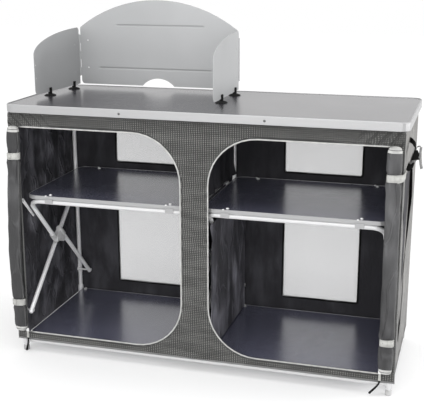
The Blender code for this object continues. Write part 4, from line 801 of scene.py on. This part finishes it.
def dress_door_rolls():
    """Each door is one long sheet wound in turns, drawn in where the straps hold it."""
    for label, side in SIDES:
        low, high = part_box("door_roll_" + label)
        high.z += sizes().roll_rise
        straps = [sum(corner.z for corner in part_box(f"roll_strap_{label}_{spot}")) / 2 - STRAP_DROP[side, spot]
                  for spot in ("upper", "lower")]
        centre_y = (low.y + high.y) / 2
        bm = bmesh.new()
        steps = ROLL_TURNS * ROLL_FACETS
        chain = [bm.verts.new((0, 0, 0)) for _ in range(steps + 1)]
        edges = [bm.edges.new(pair) for pair in zip(chain, chain[1:])]
        heights = roll_heights(low.z, high.z, straps)
        rows, strips = [chain], []
        for _ in heights[1:]:
            out = bmesh.ops.extrude_edge_only(bm, edges=edges)
            fresh = set(parts_of(out, bmesh.types.BMVert))
            edges = edges_among(out, fresh)
            strips.append(parts_of(out, bmesh.types.BMFace))
            rows.append([next(edge.other_vert(vert) for edge in vert.link_edges if edge.other_vert(vert) in fresh)
                         for vert in rows[-1]])
        for height, row in zip(heights, rows):
            share = roll_share(height, low.z, high.z, straps)
            centre_x = roll_middle(side, height, low.z, high.z)
            tidy = min(1.0, max(0.0, min(height - low.z, high.z - height) / (30 * MM)))
            pinch = max(math.exp(-abs(height - strap) / (30 * MM)) for strap in straps)
            droop = max(0.0, 1.0 - (high.z - height) / (24 * MM)) - max(0.0, 1.0 - (height - low.z) / (24 * MM))
            for step, vert in enumerate(row):
                turn = step / steps
                angle = math.tau * step / ROLL_FACETS + ROLL_EDGE
                layer = ROLL_CORE_SHARE + (1 - ROLL_CORE_SHARE) * turn
                lump = math.cos(6 * angle + 14 * soft(side, 0.3, height, 12.0)) * 3.4 * MM * pinch
                slack = soft(math.cos(angle) * 0.06, math.sin(angle) * 0.06 + side, height + angle * 0.006, 26.0)
                crumple = (lump + slack * (1.8 + 5 * pinch) * MM) * turn * tidy
                slip = soft(turn * 0.4, side, height, 3.0) * 0.5 * MM - droop * 3 * MM * turn ** 3
                across = (sizes().roll_half_width - ROLL_CLOTH) * share * layer + crumple
                deep = (ROLL_HALF_DEPTH - ROLL_CLOTH) * share * layer + crumple * 0.6
                vert.co = (centre_x + across * math.cos(angle), centre_y + deep * math.sin(angle), height + slip)
        bm.normal_update()
        bmesh.ops.recalc_face_normals(bm, faces=bm.faces[:])
        border = {vert for row in rows for vert in row[-2:]}
        for pair, strip in zip(zip(heights, heights[1:]), strips):
            end = min(sum(pair) / 2 - low.z, high.z - sum(pair) / 2)
            for face in strip:
                taped = end < ROLL_TAPES[0] or ROLL_TAPES[1] < end < ROLL_TAPES[2]
                face.material_index = 1 if taped else 2 if all(vert in border for vert in face.verts) else 0
        roll = new_piece("rolled_door_" + label, bm, "front_frame", "door", "door", "roll tape", "door edge")
        thicken(roll, ROLL_CLOTH, 0.0)
        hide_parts("door_roll_" + label)
        for spot, strap in zip(("upper", "lower"), straps):
            dress_roll_strap(label, side, spot, Vector((roll_middle(side, strap, low.z, high.z), centre_y, strap)))


def dress_roll_strap(label, side, spot, centre):
    """A webbing loop round the roll, with its end laid over on itself."""
    low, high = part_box(f"roll_strap_{label}_{spot}")
    half_x = (high.x - low.x) / 2 - sizes().strap_thick / 2 - 1.2 * MM
    half_y = (high.y - low.y) / 2 - sizes().strap_thick / 2
    facets = 40
    bm = bmesh.new()
    ring = bmesh.ops.create_circle(bm, segments=facets, radius=1.0, cap_ends=False)["verts"]
    bottom = centre.z - (high.z - low.z) / 2 + 0.4 * MM
    for vert in ring:
        angle = math.atan2(vert.co.y, vert.co.x)
        dip = 1.2 * MM * math.cos(angle + 0.7)
        vert.co = (centre.x + half_x * math.cos(angle), centre.y + half_y * math.sin(angle), bottom + dip)
    edges = list({edge for vert in ring for edge in vert.link_edges})
    for _ in range(4):
        out = bmesh.ops.extrude_edge_only(bm, edges=edges)
        verts = parts_of(out, bmesh.types.BMVert)
        bmesh.ops.translate(bm, verts=verts, vec=(0, 0, (high.z - low.z - 1 * MM) / 4))
        edges = edges_among(out, verts)
    bmesh.ops.recalc_face_normals(bm, faces=bm.faces[:])
    strap = new_piece(f"webbing_loop_{label}_{spot}", bm, "front_frame", "webbing", "webbing")
    thicken(strap, sizes().strap_thick, 0.0)
    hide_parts(f"roll_strap_{label}_{spot}")
    path = []
    for step in range(9):
        angle = -math.pi / 2 + side * (0.15 + 0.95 * step / 8)
        grow = sizes().strap_thick + 0.3 * MM + 0.6 * MM * (step / 8) ** 2
        path.append((centre.x + (half_x + grow) * math.cos(angle), centre.y + (half_y + grow) * math.sin(angle),
                     centre.z + 0.5 * MM))
    ribbon(f"webbing_end_{label}_{spot}", path, (0, 0, 1), (high.z - low.z) * 0.9, sizes().strap_thick * 0.8,
           "front_frame", "webbing", "webbing")


# Zip pulls and cords

def smooth_route(route, count):
    knots = [Vector(point) for point in route]
    points = []
    for step in range(count):
        place_on = step / (count - 1) * (len(knots) - 1)
        index = min(int(place_on), len(knots) - 2)
        share = place_on - index
        before, after = knots[max(index - 1, 0)], knots[min(index + 2, len(knots) - 1)]
        near, far = knots[index], knots[index + 1]
        points.append(0.5 * (2 * near + (far - before) * share
                             + (2 * before - 5 * near + 4 * far - after) * share ** 2
                             + (3 * near - before - 3 * far + after) * share ** 3))
    return points


def dress_pulls():
    for label, side in SIDES:
        low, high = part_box("zip_pull_" + label)
        middle = (low + high) / 2
        if side < 0:
            middle.x -= sizes().pull_shift
        start = Vector((middle.x, middle.y, low.z - 0.9 * MM))
        points = [start + point for point in smooth_route(CORD_ROUTES[label], CORD_POINTS)]
        cord = cord_along("pull_cord_" + label, points, sizes().cord_radius, "front_frame", "cord", 1.7)
        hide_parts("zip_cord_" + label)
        length = sum((far - near).length for near, far in zip(points, points[1:]))
        bead = in_mm(BEAD)
        knot = turned("cord_knot_" + label, bead, points[-2], points[-2] - points[-1], "front_frame", "cord", "cord",
                      facets=12)
        tie = turned("cord_tie_" + label, bead, points[1], (0, 0, 1), "front_frame", "cord", "cord", facets=12)
        bm = block(high - low)
        for vert in bm.verts:
            if vert.co.z > 0:
                vert.co.x *= 0.72
        upright = [edge for edge in bm.edges if abs(edge.verts[0].co.y - edge.verts[1].co.y) > MM]
        round_edges(bm, upright, 2.4 * MM, 5)
        flat = [face for face in bm.faces if abs(face.normal.y) > 0.9]
        bmesh.ops.inset_region(bm, faces=flat, thickness=1.1 * MM, depth=-0.5 * MM, use_even_offset=True)
        bmesh.ops.translate(bm, vec=middle, verts=bm.verts[:])
        pull = new_piece("pull_tab_" + label, bm, "front_frame", "webbing", "webbing", smooth=False)
        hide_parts("zip_pull_" + label)
        slide = block((9 * MM, 3.4 * MM, 11 * MM))
        round_edges(slide, slide.edges[:], 1.2 * MM, 3)
        bmesh.ops.translate(slide, vec=(middle.x, FRONT_Y - 2.6 * MM, high.z + 3 * MM), verts=slide.verts[:])
        new_piece("zip_slider_" + label, slide, "front_frame", "webbing", "steel")


# Side walls and pocket

def wall_fold(side, y, z):
    """Hanging folds of a side wall: long upright ones that fade towards the posts and hems."""
    along = (y - MIDDLE_Y) / POST_Y
    fade = max(0.0, 1.0 - abs(along) ** 4)
    up = (z - WALL_LOW.z) / (WALL_HIGH.z - WALL_LOW.z)
    hold = math.sin(math.pi * min(max(up, 0.0), 1.0)) ** 0.5
    warp = 0.35 * soft(side, y * 0.5, z, 4.0)
    long_fold = math.sin(math.tau * (2.6 * along + warp * 3 + 0.3 * side))
    slant = math.sin(math.tau * (along * 1.3 + up * 1.9) + 2.5 * soft(y, z, side, 5.0))
    return fade * hold * (3.2 * MM * long_fold + 2.4 * MM * slant + 3.0 * MM * soft(side, y, z, 9.0))


def dress_side_walls():
    for label, side in SIDES:
        low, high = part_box("side_wall_" + label)
        outer = high.x if side > 0 else low.x
        bm = cloth((outer, low.y, low.z), (outer, high.y, high.z), sizes().wall_cell, (side, 0, 0))
        for vert in bm.verts:
            push = wall_fold(side, vert.co.y, vert.co.z)
            vert.co.x += side * (push if side < 0 or vert.co.z > 0.66 else min(push, 0.6 * MM))
        wall = new_piece("side_wall_fabric_" + label, bm, "front_frame", "cover", "wall", "wall lining")
        thicken(wall, FABRIC - 0.2 * MM, -1.0, 1)
        subdivide(wall)
        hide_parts("side_wall_" + label)
        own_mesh(wall)
        for name, z, tall in (("top", high.z - 6 * MM, 11 * MM), ("bottom", low.z + 6 * MM, 11 * MM)):
            path = [(outer + side * 0.5 * MM, low.y + (high.y - low.y) * step / 10, z) for step in range(11)]
            hem = ribbon(f"side_hem_{name}_{label}", path, (0, 0, 1), tall, 0.9 * MM, "front_frame", "cover",
                         "piping" if name == "bottom" else "wall")
            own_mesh(hem)


def dress_pocket():
    low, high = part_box("side_pocket")
    wall_x = WALL_HIGH.x
    bm = cloth((wall_x, low.y, low.z), (wall_x, high.y, high.z), sizes().wall_cell / 2, (1, 0, 0))
    slant_top, slant_low = MIDDLE_Y + 12 * MM, low.y
    for vert in bm.verts:
        up = (vert.co.z - low.z) / (high.z - low.z)
        front = slant_low + (slant_top - slant_low) * up ** 0.8
        share = (vert.co.y - low.y) / (high.y - low.y)
        vert.co.y = front + (high.y - front) * share
        edge = min(1.0, 4 * up) * min(1.0, 7 * (1 - share)) * (0.45 + 0.55 * min(1.0, 5 * (1 - up)))
        mouth = max(0.0, 1.0 - share * 3.0) * min(1.0, max(0.0, (up - 0.5) * 4))
        bulge = 4.5 * MM * math.sin(math.pi * min(1.0, share + 0.08)) ** 0.6 * edge + 8.5 * MM * mouth * edge
        fold = soft(0.3, vert.co.y, vert.co.z, 12.0) * 2.5 * MM * edge
        vert.co.x += 0.9 * MM + max(0.0, bulge + fold)
    pocket = new_piece("pocket_panel", bm, "front_frame", "cover", "wall", "lining")
    thicken(pocket, FABRIC - 0.4 * MM, -1.0, 1)
    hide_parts("side_pocket")
    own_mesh(pocket)


def moulded_plate(name, outline, depth, slot, finish):
    """A rounded plate whose outline is given at the strap; its face turns a little outwards."""
    bm = bmesh.new()
    face = bm.faces.new([bm.verts.new((x, BUCKLE_Y + (x - WALL_HIGH.x) * 0.3, z)) for x, z in outline])
    out = bmesh.ops.extrude_face_region(bm, geom=[face])
    bmesh.ops.translate(bm, verts=parts_of(out, bmesh.types.BMVert), vec=(0.0, depth, 0.0))
    bmesh.ops.recalc_face_normals(bm, faces=bm.faces[:])
    round_edges(bm, bm.edges[:], 0.8 * MM, 2)
    return new_piece(name, bm, "front_frame", slot, finish)


def dress_side_strap():
    """The webbing from the right roll to a black two-part buckle that stands out from the side wall."""
    strap_low, strap_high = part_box("roll_strap_right_upper")
    middle_z = (strap_low.z + strap_high.z) / 2
    wall_x = WALL_HIGH.x

    def at(out, y, up):
        return (wall_x + out * MM, BUCKLE_Y + y * MM, middle_z + up * MM)

    pieces = [ribbon(name, [at(*spot) for spot in path], way, width * MM, sizes().strap_thick, "front_frame",
                     "webbing", finish) for name, finish, way, width, path in STRAP_ROUTES]
    for name, outline in BUCKLE_OUTLINES.items():
        spots = [(wall_x + out * MM, middle_z + up * MM) for out, up in outline]
        pieces.append(moulded_plate(name, spots, 7 * MM, "cup", "black"))
    # A dark patch on the wall inside the pocket mouth paints the shadow there.
    mouth = ((MIDDLE_Y - 182 * MM, middle_z - 14 * MM), (MIDDLE_Y - 5 * MM, middle_z - 8 * MM),
             (MIDDLE_Y - 30 * MM, 560 * MM), (MIDDLE_Y - 60 * MM, 470 * MM), (MIDDLE_Y - 88 * MM, 360 * MM),
             (MIDDLE_Y - 112 * MM, 300 * MM), (MIDDLE_Y - 140 * MM, 440 * MM), (MIDDLE_Y - 168 * MM, 540 * MM))
    bm = bmesh.new()
    bm.faces.new([bm.verts.new((WALL_HIGH.x + 0.5 * MM, y, z)) for y, z in mouth])
    bmesh.ops.recalc_face_normals(bm, faces=bm.faces[:])
    pieces.append(thicken(new_piece("pocket_mouth_shadow_patch", bm, "front_frame", "lining", "lining", smooth=False),
                          0.4 * MM, 0.0))
    for piece in pieces:
        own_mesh(piece)


# Dividers

def dress_dividers():
    low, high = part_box("divider_upper")
    bm = cloth((0.0, low.y, low.z), (0.0, high.y, high.z), sizes().wall_cell, (1, 0, 0))
    for vert in bm.verts:
        along = (vert.co.y - MIDDLE_Y) / POST_Y
        up = (vert.co.z - low.z) / (high.z - low.z)
        fade = max(0.0, 1.0 - abs(along) ** 5)
        sway = 4.2 * MM * math.sin(math.tau * (2.2 * along + 0.3 * soft(0.1, along, up, 1.6)))
        vert.co.x += fade * (1.15 - 0.5 * up) * (sway + 5 * MM * soft(0.7, vert.co.y, vert.co.z, 11.0))
        vert.co.x += 9 * MM * max(0.0, 1.0 - up * 6) ** 2
    upper = new_piece("divider_curtain", bm, "front_frame", "lining", "lining")
    thicken(upper, FABRIC - 0.3 * MM, 0.0)
    subdivide(upper)
    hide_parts("divider_upper")
    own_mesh(upper)
    low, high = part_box("divider_sleeve")
    for label, side in SIDES:
        plane = side * SLEEVE_X
        bm = cloth((plane, FRONT_Y + FABRIC + MM, low.z), (plane, high.y, high.z), sizes().wall_cell, (side, 0, 0))
        for vert in bm.verts:
            along = (vert.co.y - MIDDLE_Y) / POST_Y
            up = (vert.co.z - low.z) / (high.z - low.z)
            drape = math.sin(math.tau * (1.7 * along + 0.5 * soft(side, along, up, 1.3)))
            fan = math.sin(math.tau * (along * 1.1 - up * 0.8) + 2 * soft(side, along, up, 2.0))
            push = 3.4 * MM * drape + 3.0 * MM * fan + 3.5 * MM * soft(side, vert.co.y, vert.co.z, 10.0)
            vert.co.x += side * max(-1.6 * MM, push) * min(1.0, 6 * up) * min(1.0, 8 * (1.02 - up))
        curtain = new_piece("divider_sleeve_" + label, bm, "front_frame", "lining", "curtain")
        thicken(curtain, FABRIC - 0.3 * MM, 0.0)
        subdivide(curtain)
        if side > 0:
            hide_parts("divider_sleeve")
        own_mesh(curtain)
    web = cloth((-SLEEVE_X, low.y, low.z), (SLEEVE_X, high.y, low.z), sizes().wall_cell, (0, 0, -1))
    floor = new_piece("divider_sleeve_floor", web, "front_frame", "lining", "lining")
    thicken(floor, FABRIC - 0.3 * MM, 0.0)
    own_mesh(floor)


# Back cover and windows

def dress_back_cover():
    inner = BACK_LOW.y
    bm = cloth((BACK_LOW.x, inner, BACK_LOW.z), (BACK_HIGH.x, inner, BACK_HIGH.z), sizes().cell, (0, -1, 0))
    cut_openings(bm, {side: WINDOWS for _, side in SIDES}, sizes().cell)
    for vert in bm.verts:
        edge = min(min(abs(edge_distance(abs(vert.co.x), vert.co.z, hole)) for hole in WINDOWS),
                   abs(vert.co.z - BACK_LOW.z), abs(BACK_HIGH.z - vert.co.z)) / (40 * MM)
        sag = math.sin(math.tau * (vert.co.x * 4.3 + vert.co.z * 1.7) + 3 * soft(vert.co.x, 1.0, vert.co.z, 5.0))
        vert.co.y += (1.2 * MM + 1.2 * MM * sag + 1.5 * MM * (soft(vert.co.x, 2.0, vert.co.z, 12.0) + 0.5)) \
            * min(1.0, edge)
    cover = new_piece("back_cover_fabric", bm, "rear_frame", "lining", "lining")
    thicken(cover, FABRIC - 0.2 * MM, -1.0)
    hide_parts("back_cover")
    for label, side in SIDES:
        for spot, hole in zip(("lower", "upper"), WINDOWS):
            for face, plane, way in (("inside", inner, -1), ("outside", inner + FABRIC, 1)):
                opening_band(f"window_binding_{label}_{spot}_{face}", side, hole, plane, 7 * MM, 0.8 * MM,
                                          way, "rear_frame", "lining", "binding")
        low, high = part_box("window_mesh_" + label)
        net_y = (low.y + high.y) / 2
        for spot, hole in zip(("lower", "upper"), WINDOWS):
            reach = [(across + way * NET_LAP, up + way * NET_LAP) for (across, up), way in zip(hole[:2], (-1, 1))]
            ends = sorted(side * across for across, _ in reach)
            mesh = cloth((ends[0], net_y, reach[0][1]), (ends[1], net_y, reach[1][1]), 2 * sizes().wall_cell,
                         (0, -1, 0))
            for vert in mesh.verts:
                vert.co.y += 0.9 * MM * soft(vert.co.x, 4.0, vert.co.z, 8.0)
            panel = new_piece(f"window_net_{label}_{spot}", mesh, "rear_frame", "net", "net")
            thicken(panel, 0.4 * MM, 0.0)
            if spot == "upper":
                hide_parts("window_mesh_" + label)
            ends[1] - ends[0]
            reach[1][1] - reach[0][1]


# Stage

def stage_finish(name, colour, seen):
    """Pale stage: lit as paint, and brighter where the camera or a reflection sees it."""
    finish = Finish(name, colour, 0.9)
    paths = finish.tree.nodes.new("ShaderNodeLightPath")
    camera, glossy, through = (Link(finish, paths.outputs[kind]) for kind in
                               ("Is Camera Ray", "Is Glossy Ray", "Is Transmission Ray"))
    glow = finish.tree.nodes.new("ShaderNodeEmission")
    glow.inputs["Color"].default_value = (1.0, 1.0, 1.0, 1.0)
    glow.inputs["Strength"].default_value = FLOOR_GLOW
    far = finish.node("ShaderNodeVectorMath", {"operation": "LENGTH"}, {0: finish.place}, "Value")
    share = (camera + glossy + through).maths("MINIMUM", 1.0) * far.fit(*FLOOR_FADE, seen, 1.0)
    mixed = finish.tree.nodes.new("ShaderNodeMixShader")
    finish.feed(mixed.inputs[0], share)
    finish.tree.links.new(finish.shader.outputs[0], mixed.inputs[1])
    finish.tree.links.new(glow.outputs[0], mixed.inputs[2])
    out = next(item for item in finish.tree.nodes if item.type == "OUTPUT_MATERIAL")
    finish.tree.links.new(mixed.outputs[0], out.inputs["Surface"])
    return finish.material


def area_light(name, place, target, size, energy):
    lamp = bpy.data.lights.new(name, "AREA")
    lamp.shape = "RECTANGLE"
    lamp.size, lamp.size_y = size
    lamp.energy = energy
    light = bpy.data.objects.new(name, lamp)
    bpy.context.scene.collection.objects.link(light)
    light.location = place
    light.rotation_euler = (Vector(target) - Vector(place)).to_track_quat("-Z", "Y").to_euler()


def dress_stage():
    scene = bpy.context.scene
    bm = bmesh.new()
    bmesh.ops.create_grid(bm, x_segments=2, y_segments=2, size=12.0)
    floor = new_piece("floor", bm, None, None, smooth=False)
    floor.data.materials.append(stage_finish("pale floor", grey(0.95), FLOOR_NEAR_GLOW))
    world = bpy.data.worlds.new("studio")
    scene.world = world
    world.use_nodes = True
    tree = world.node_tree
    ground, white = tree.nodes["Background"], tree.nodes.new("ShaderNodeBackground")
    for glow, strength in ((ground, WORLD_GLOW), (white, 1.0)):
        glow.inputs["Color"].default_value = (1.0, 1.0, 1.0, 1.0)
        glow.inputs["Strength"].default_value = strength
    paths = tree.nodes.new("ShaderNodeLightPath")
    seen = paths.outputs["Is Camera Ray"]
    for kind in ("Is Glossy Ray", "Is Transmission Ray"):
        both = tree.nodes.new("ShaderNodeMath")
        both.operation = "MAXIMUM"
        tree.links.new(seen, both.inputs[0])
        tree.links.new(paths.outputs[kind], both.inputs[1])
        seen = both.outputs[0]
    mixed = tree.nodes.new("ShaderNodeMixShader")
    tree.links.new(seen, mixed.inputs[0])
    tree.links.new(ground.outputs[0], mixed.inputs[1])
    tree.links.new(white.outputs[0], mixed.inputs[2])
    tree.links.new(mixed.outputs[0], tree.nodes["World Output"].inputs["Surface"])
    for lamp in LAMPS:
        area_light(*lamp)
    lens = bpy.data.cameras.new("photo camera")
    lens.sensor_fit, lens.sensor_width = "HORIZONTAL", SENSOR
    lens.lens = CAMERA_FOCAL / PHOTO_WIDTH * SENSOR
    camera = bpy.data.objects.new("photo camera", lens)
    scene.collection.objects.link(camera)
    camera.location = CAMERA_PLACE
    camera.rotation_euler = (Matrix.Rotation(CAMERA_TURN, 3, "Z") @ Matrix.Rotation(math.pi / 2 - CAMERA_DOWN, 3, "X")
                             @ Matrix.Rotation(CAMERA_ROLL, 3, "Z")).to_euler()
    scene.camera = camera
    scene.view_settings.view_transform = "Standard"


# Settings, operators and panel

def size_setting(name, description, default):
    return FloatProperty(name=name, description=description, default=default, min=0.0, unit="LENGTH", precision=4)


def colour_setting(name, description, default):
    return FloatVectorProperty(name=name, description=description, default=default, size=3, min=0.0, max=1.0,
                               subtype="COLOR")


class KitchenSizes(bpy.types.PropertyGroup):
    cell: size_setting("Fabric grid", "Cell of the front and back fabric", 5 * MM)
    wall_cell: size_setting("Wall grid", "Cell of the hanging fabric", 8 * MM)
    strap_thick: size_setting("Strap", "Thickness of the webbing straps", 1.4 * MM)
    cord_radius: size_setting("Cord", "Radius of the zip pull cords", 2.1 * MM)
    piping_radius: size_setting("Piping", "Radius of the corner piping", 1.3 * MM)
    pull_shift: size_setting("Left pull", "How far the left zip pull is drawn outwards", 12 * MM)
    roll_half_width: size_setting("Roll", "Half width of a rolled door", 23 * MM)
    roll_rise: size_setting("Roll top", "How far a roll reaches above its doorway", 5 * MM)
    roll_cinch: size_setting("Cinch", "Length over which a strap draws a roll in", 20 * MM)
    roll_taper: size_setting("Taper", "Length of a roll's drawn-in ends", 34 * MM)
    crease_width: size_setting("Crease", "Half width of the wind shield's creases", 5 * MM)
    rim_screw_drop: size_setting("Rim screw", "Depth of the rim screws below the worktop", 13 * MM)
    knob_inset: size_setting("Knob", "Inset of the lower shelves' corner knobs", 14 * MM)


class KitchenColours(bpy.types.PropertyGroup):
    tube: colour_setting("Tube", "Satin aluminium of the posts and arms", (0.95, 0.95, 0.96))
    rim: colour_setting("Rim", "Anodised profile round the boards", (0.36, 0.36, 0.365))
    worktop: colour_setting("Worktop", "Ground of the worktop laminate", (0.03, 0.0285, 0.034))
    shelf: colour_setting("Shelf", "Ground of the shelf laminate", (0.1, 0.102, 0.148))
    cover: colour_setting("Cover", "Ground of the ribbed fabric", (0.024, 0.024, 0.023))
    fleck: colour_setting("Fleck", "Light thread of the ribbed fabric", (0.225, 0.225, 0.216))
    door: colour_setting("Door", "Smooth fabric of the rolled doors", (0.02, 0.02, 0.021))
    wall: colour_setting("Side wall", "Smooth fabric of the side walls", (0.145, 0.143, 0.14))
    lining: colour_setting("Lining", "Dark inner fabric", (0.026, 0.0255, 0.029))
    curtain: colour_setting("Curtain", "Dark fabric of dividers and wall insides", (0.024, 0.0235, 0.0265))
    webbing: colour_setting("Webbing", "Light straps", (0.58, 0.58, 0.555))
    net: colour_setting("Net", "Pale threads of the window net", (0.74, 0.74, 0.75))
    block: colour_setting("Pivot block", "Moulded pivot blocks", (0.5, 0.5, 0.5))
    sheet: colour_setting("Wind shield", "Satin paint of the wind shield", (0.365, 0.37, 0.375))


class KITCHEN_OT_stage(bpy.types.Operator):
    """Set the pale floor, the soft lamps and the camera"""
    bl_idname = "kitchen.stage"
    bl_label = "Stage"

    def execute(self, context):
        dress_stage()
        return {"FINISHED"}


class KITCHEN_OT_pulls(bpy.types.Operator):
    """Make the zip pulls with their sliders and cords"""
    bl_idname = "kitchen.pulls"
    bl_label = "Zip pulls"

    def execute(self, context):
        dress_pulls()
        return {"FINISHED"}


class KITCHEN_OT_frame(bpy.types.Operator):
    """Give the tubes, rims, boards, blocks and the wind shield their finishes"""
    bl_idname = "kitchen.frame"
    bl_label = "Frame finishes"

    def execute(self, context):
        dress_frame()
        return {"FINISHED"}


class KITCHEN_OT_fasteners(bpy.types.Operator):
    """Add rim screws, clip rivets, corner knobs and foot caps"""
    bl_idname = "kitchen.fasteners"
    bl_label = "Fasteners"

    def execute(self, context):
        dress_fasteners()
        return {"FINISHED"}


class KITCHEN_OT_front_cover(bpy.types.Operator):
    """Make the front cover with its doorways, zips, hems and piping"""
    bl_idname = "kitchen.front_cover"
    bl_label = "Front cover"

    def execute(self, context):
        dress_front_cover()
        return {"FINISHED"}


class KITCHEN_OT_door_rolls(bpy.types.Operator):
    """Wind up both doors and strap them"""
    bl_idname = "kitchen.door_rolls"
    bl_label = "Rolled doors"

    def execute(self, context):
        dress_door_rolls()
        return {"FINISHED"}


class KITCHEN_OT_side_walls(bpy.types.Operator):
    """Hang the side walls with their folds and hems"""
    bl_idname = "kitchen.side_walls"
    bl_label = "Side walls"

    def execute(self, context):
        dress_side_walls()
        return {"FINISHED"}


class KITCHEN_OT_pocket(bpy.types.Operator):
    """Sew the pocket onto the right wall and add the buckled strap"""
    bl_idname = "kitchen.pocket"
    bl_label = "Pocket and side strap"

    def execute(self, context):
        dress_pocket()
        dress_side_strap()
        return {"FINISHED"}


class KITCHEN_OT_dividers(bpy.types.Operator):
    """Hang the curtains between the bays"""
    bl_idname = "kitchen.dividers"
    bl_label = "Dividers"

    def execute(self, context):
        dress_dividers()
        return {"FINISHED"}


class KITCHEN_OT_back_cover(bpy.types.Operator):
    """Make the back cover with its windows and nets"""
    bl_idname = "kitchen.back_cover"
    bl_label = "Back cover"

    def execute(self, context):
        dress_back_cover()
        return {"FINISHED"}


STEPS = (KITCHEN_OT_stage, KITCHEN_OT_pulls, KITCHEN_OT_frame, KITCHEN_OT_fasteners, KITCHEN_OT_front_cover,
         KITCHEN_OT_door_rolls, KITCHEN_OT_side_walls, KITCHEN_OT_pocket, KITCHEN_OT_dividers,
         KITCHEN_OT_back_cover)


class KITCHEN_PT_dressing(bpy.types.Panel):
    """The dressing steps with their sizes and colours"""
    bl_idname = "KITCHEN_PT_dressing"
    bl_label = "Camp kitchen"
    bl_space_type = "VIEW_3D"
    bl_region_type = "UI"
    bl_category = "Kitchen"

    def draw(self, context):
        for step in STEPS:
            self.layout.operator(step.bl_idname)
        for name in KitchenSizes.__annotations__:
            self.layout.prop(context.scene.kitchen_sizes, name)
        for name in KitchenColours.__annotations__:
            self.layout.prop(context.scene.kitchen_colours, name)


CLASSES = (KitchenSizes, KitchenColours, *STEPS, KITCHEN_PT_dressing)


def register():
    for item in CLASSES:
        bpy.utils.register_class(item)
    bpy.types.Scene.kitchen_sizes = PointerProperty(type=KitchenSizes)
    bpy.types.Scene.kitchen_colours = PointerProperty(type=KitchenColours)


def unregister():
    del bpy.types.Scene.kitchen_colours
    del bpy.types.Scene.kitchen_sizes
    for item in reversed(CLASSES):
        bpy.utils.unregister_class(item)


def main():
    register()
    for step in STEPS:
        group, name = step.bl_idname.split(".")
        getattr(getattr(bpy.ops, group), name)()


if __name__ == "__main__":
    main()
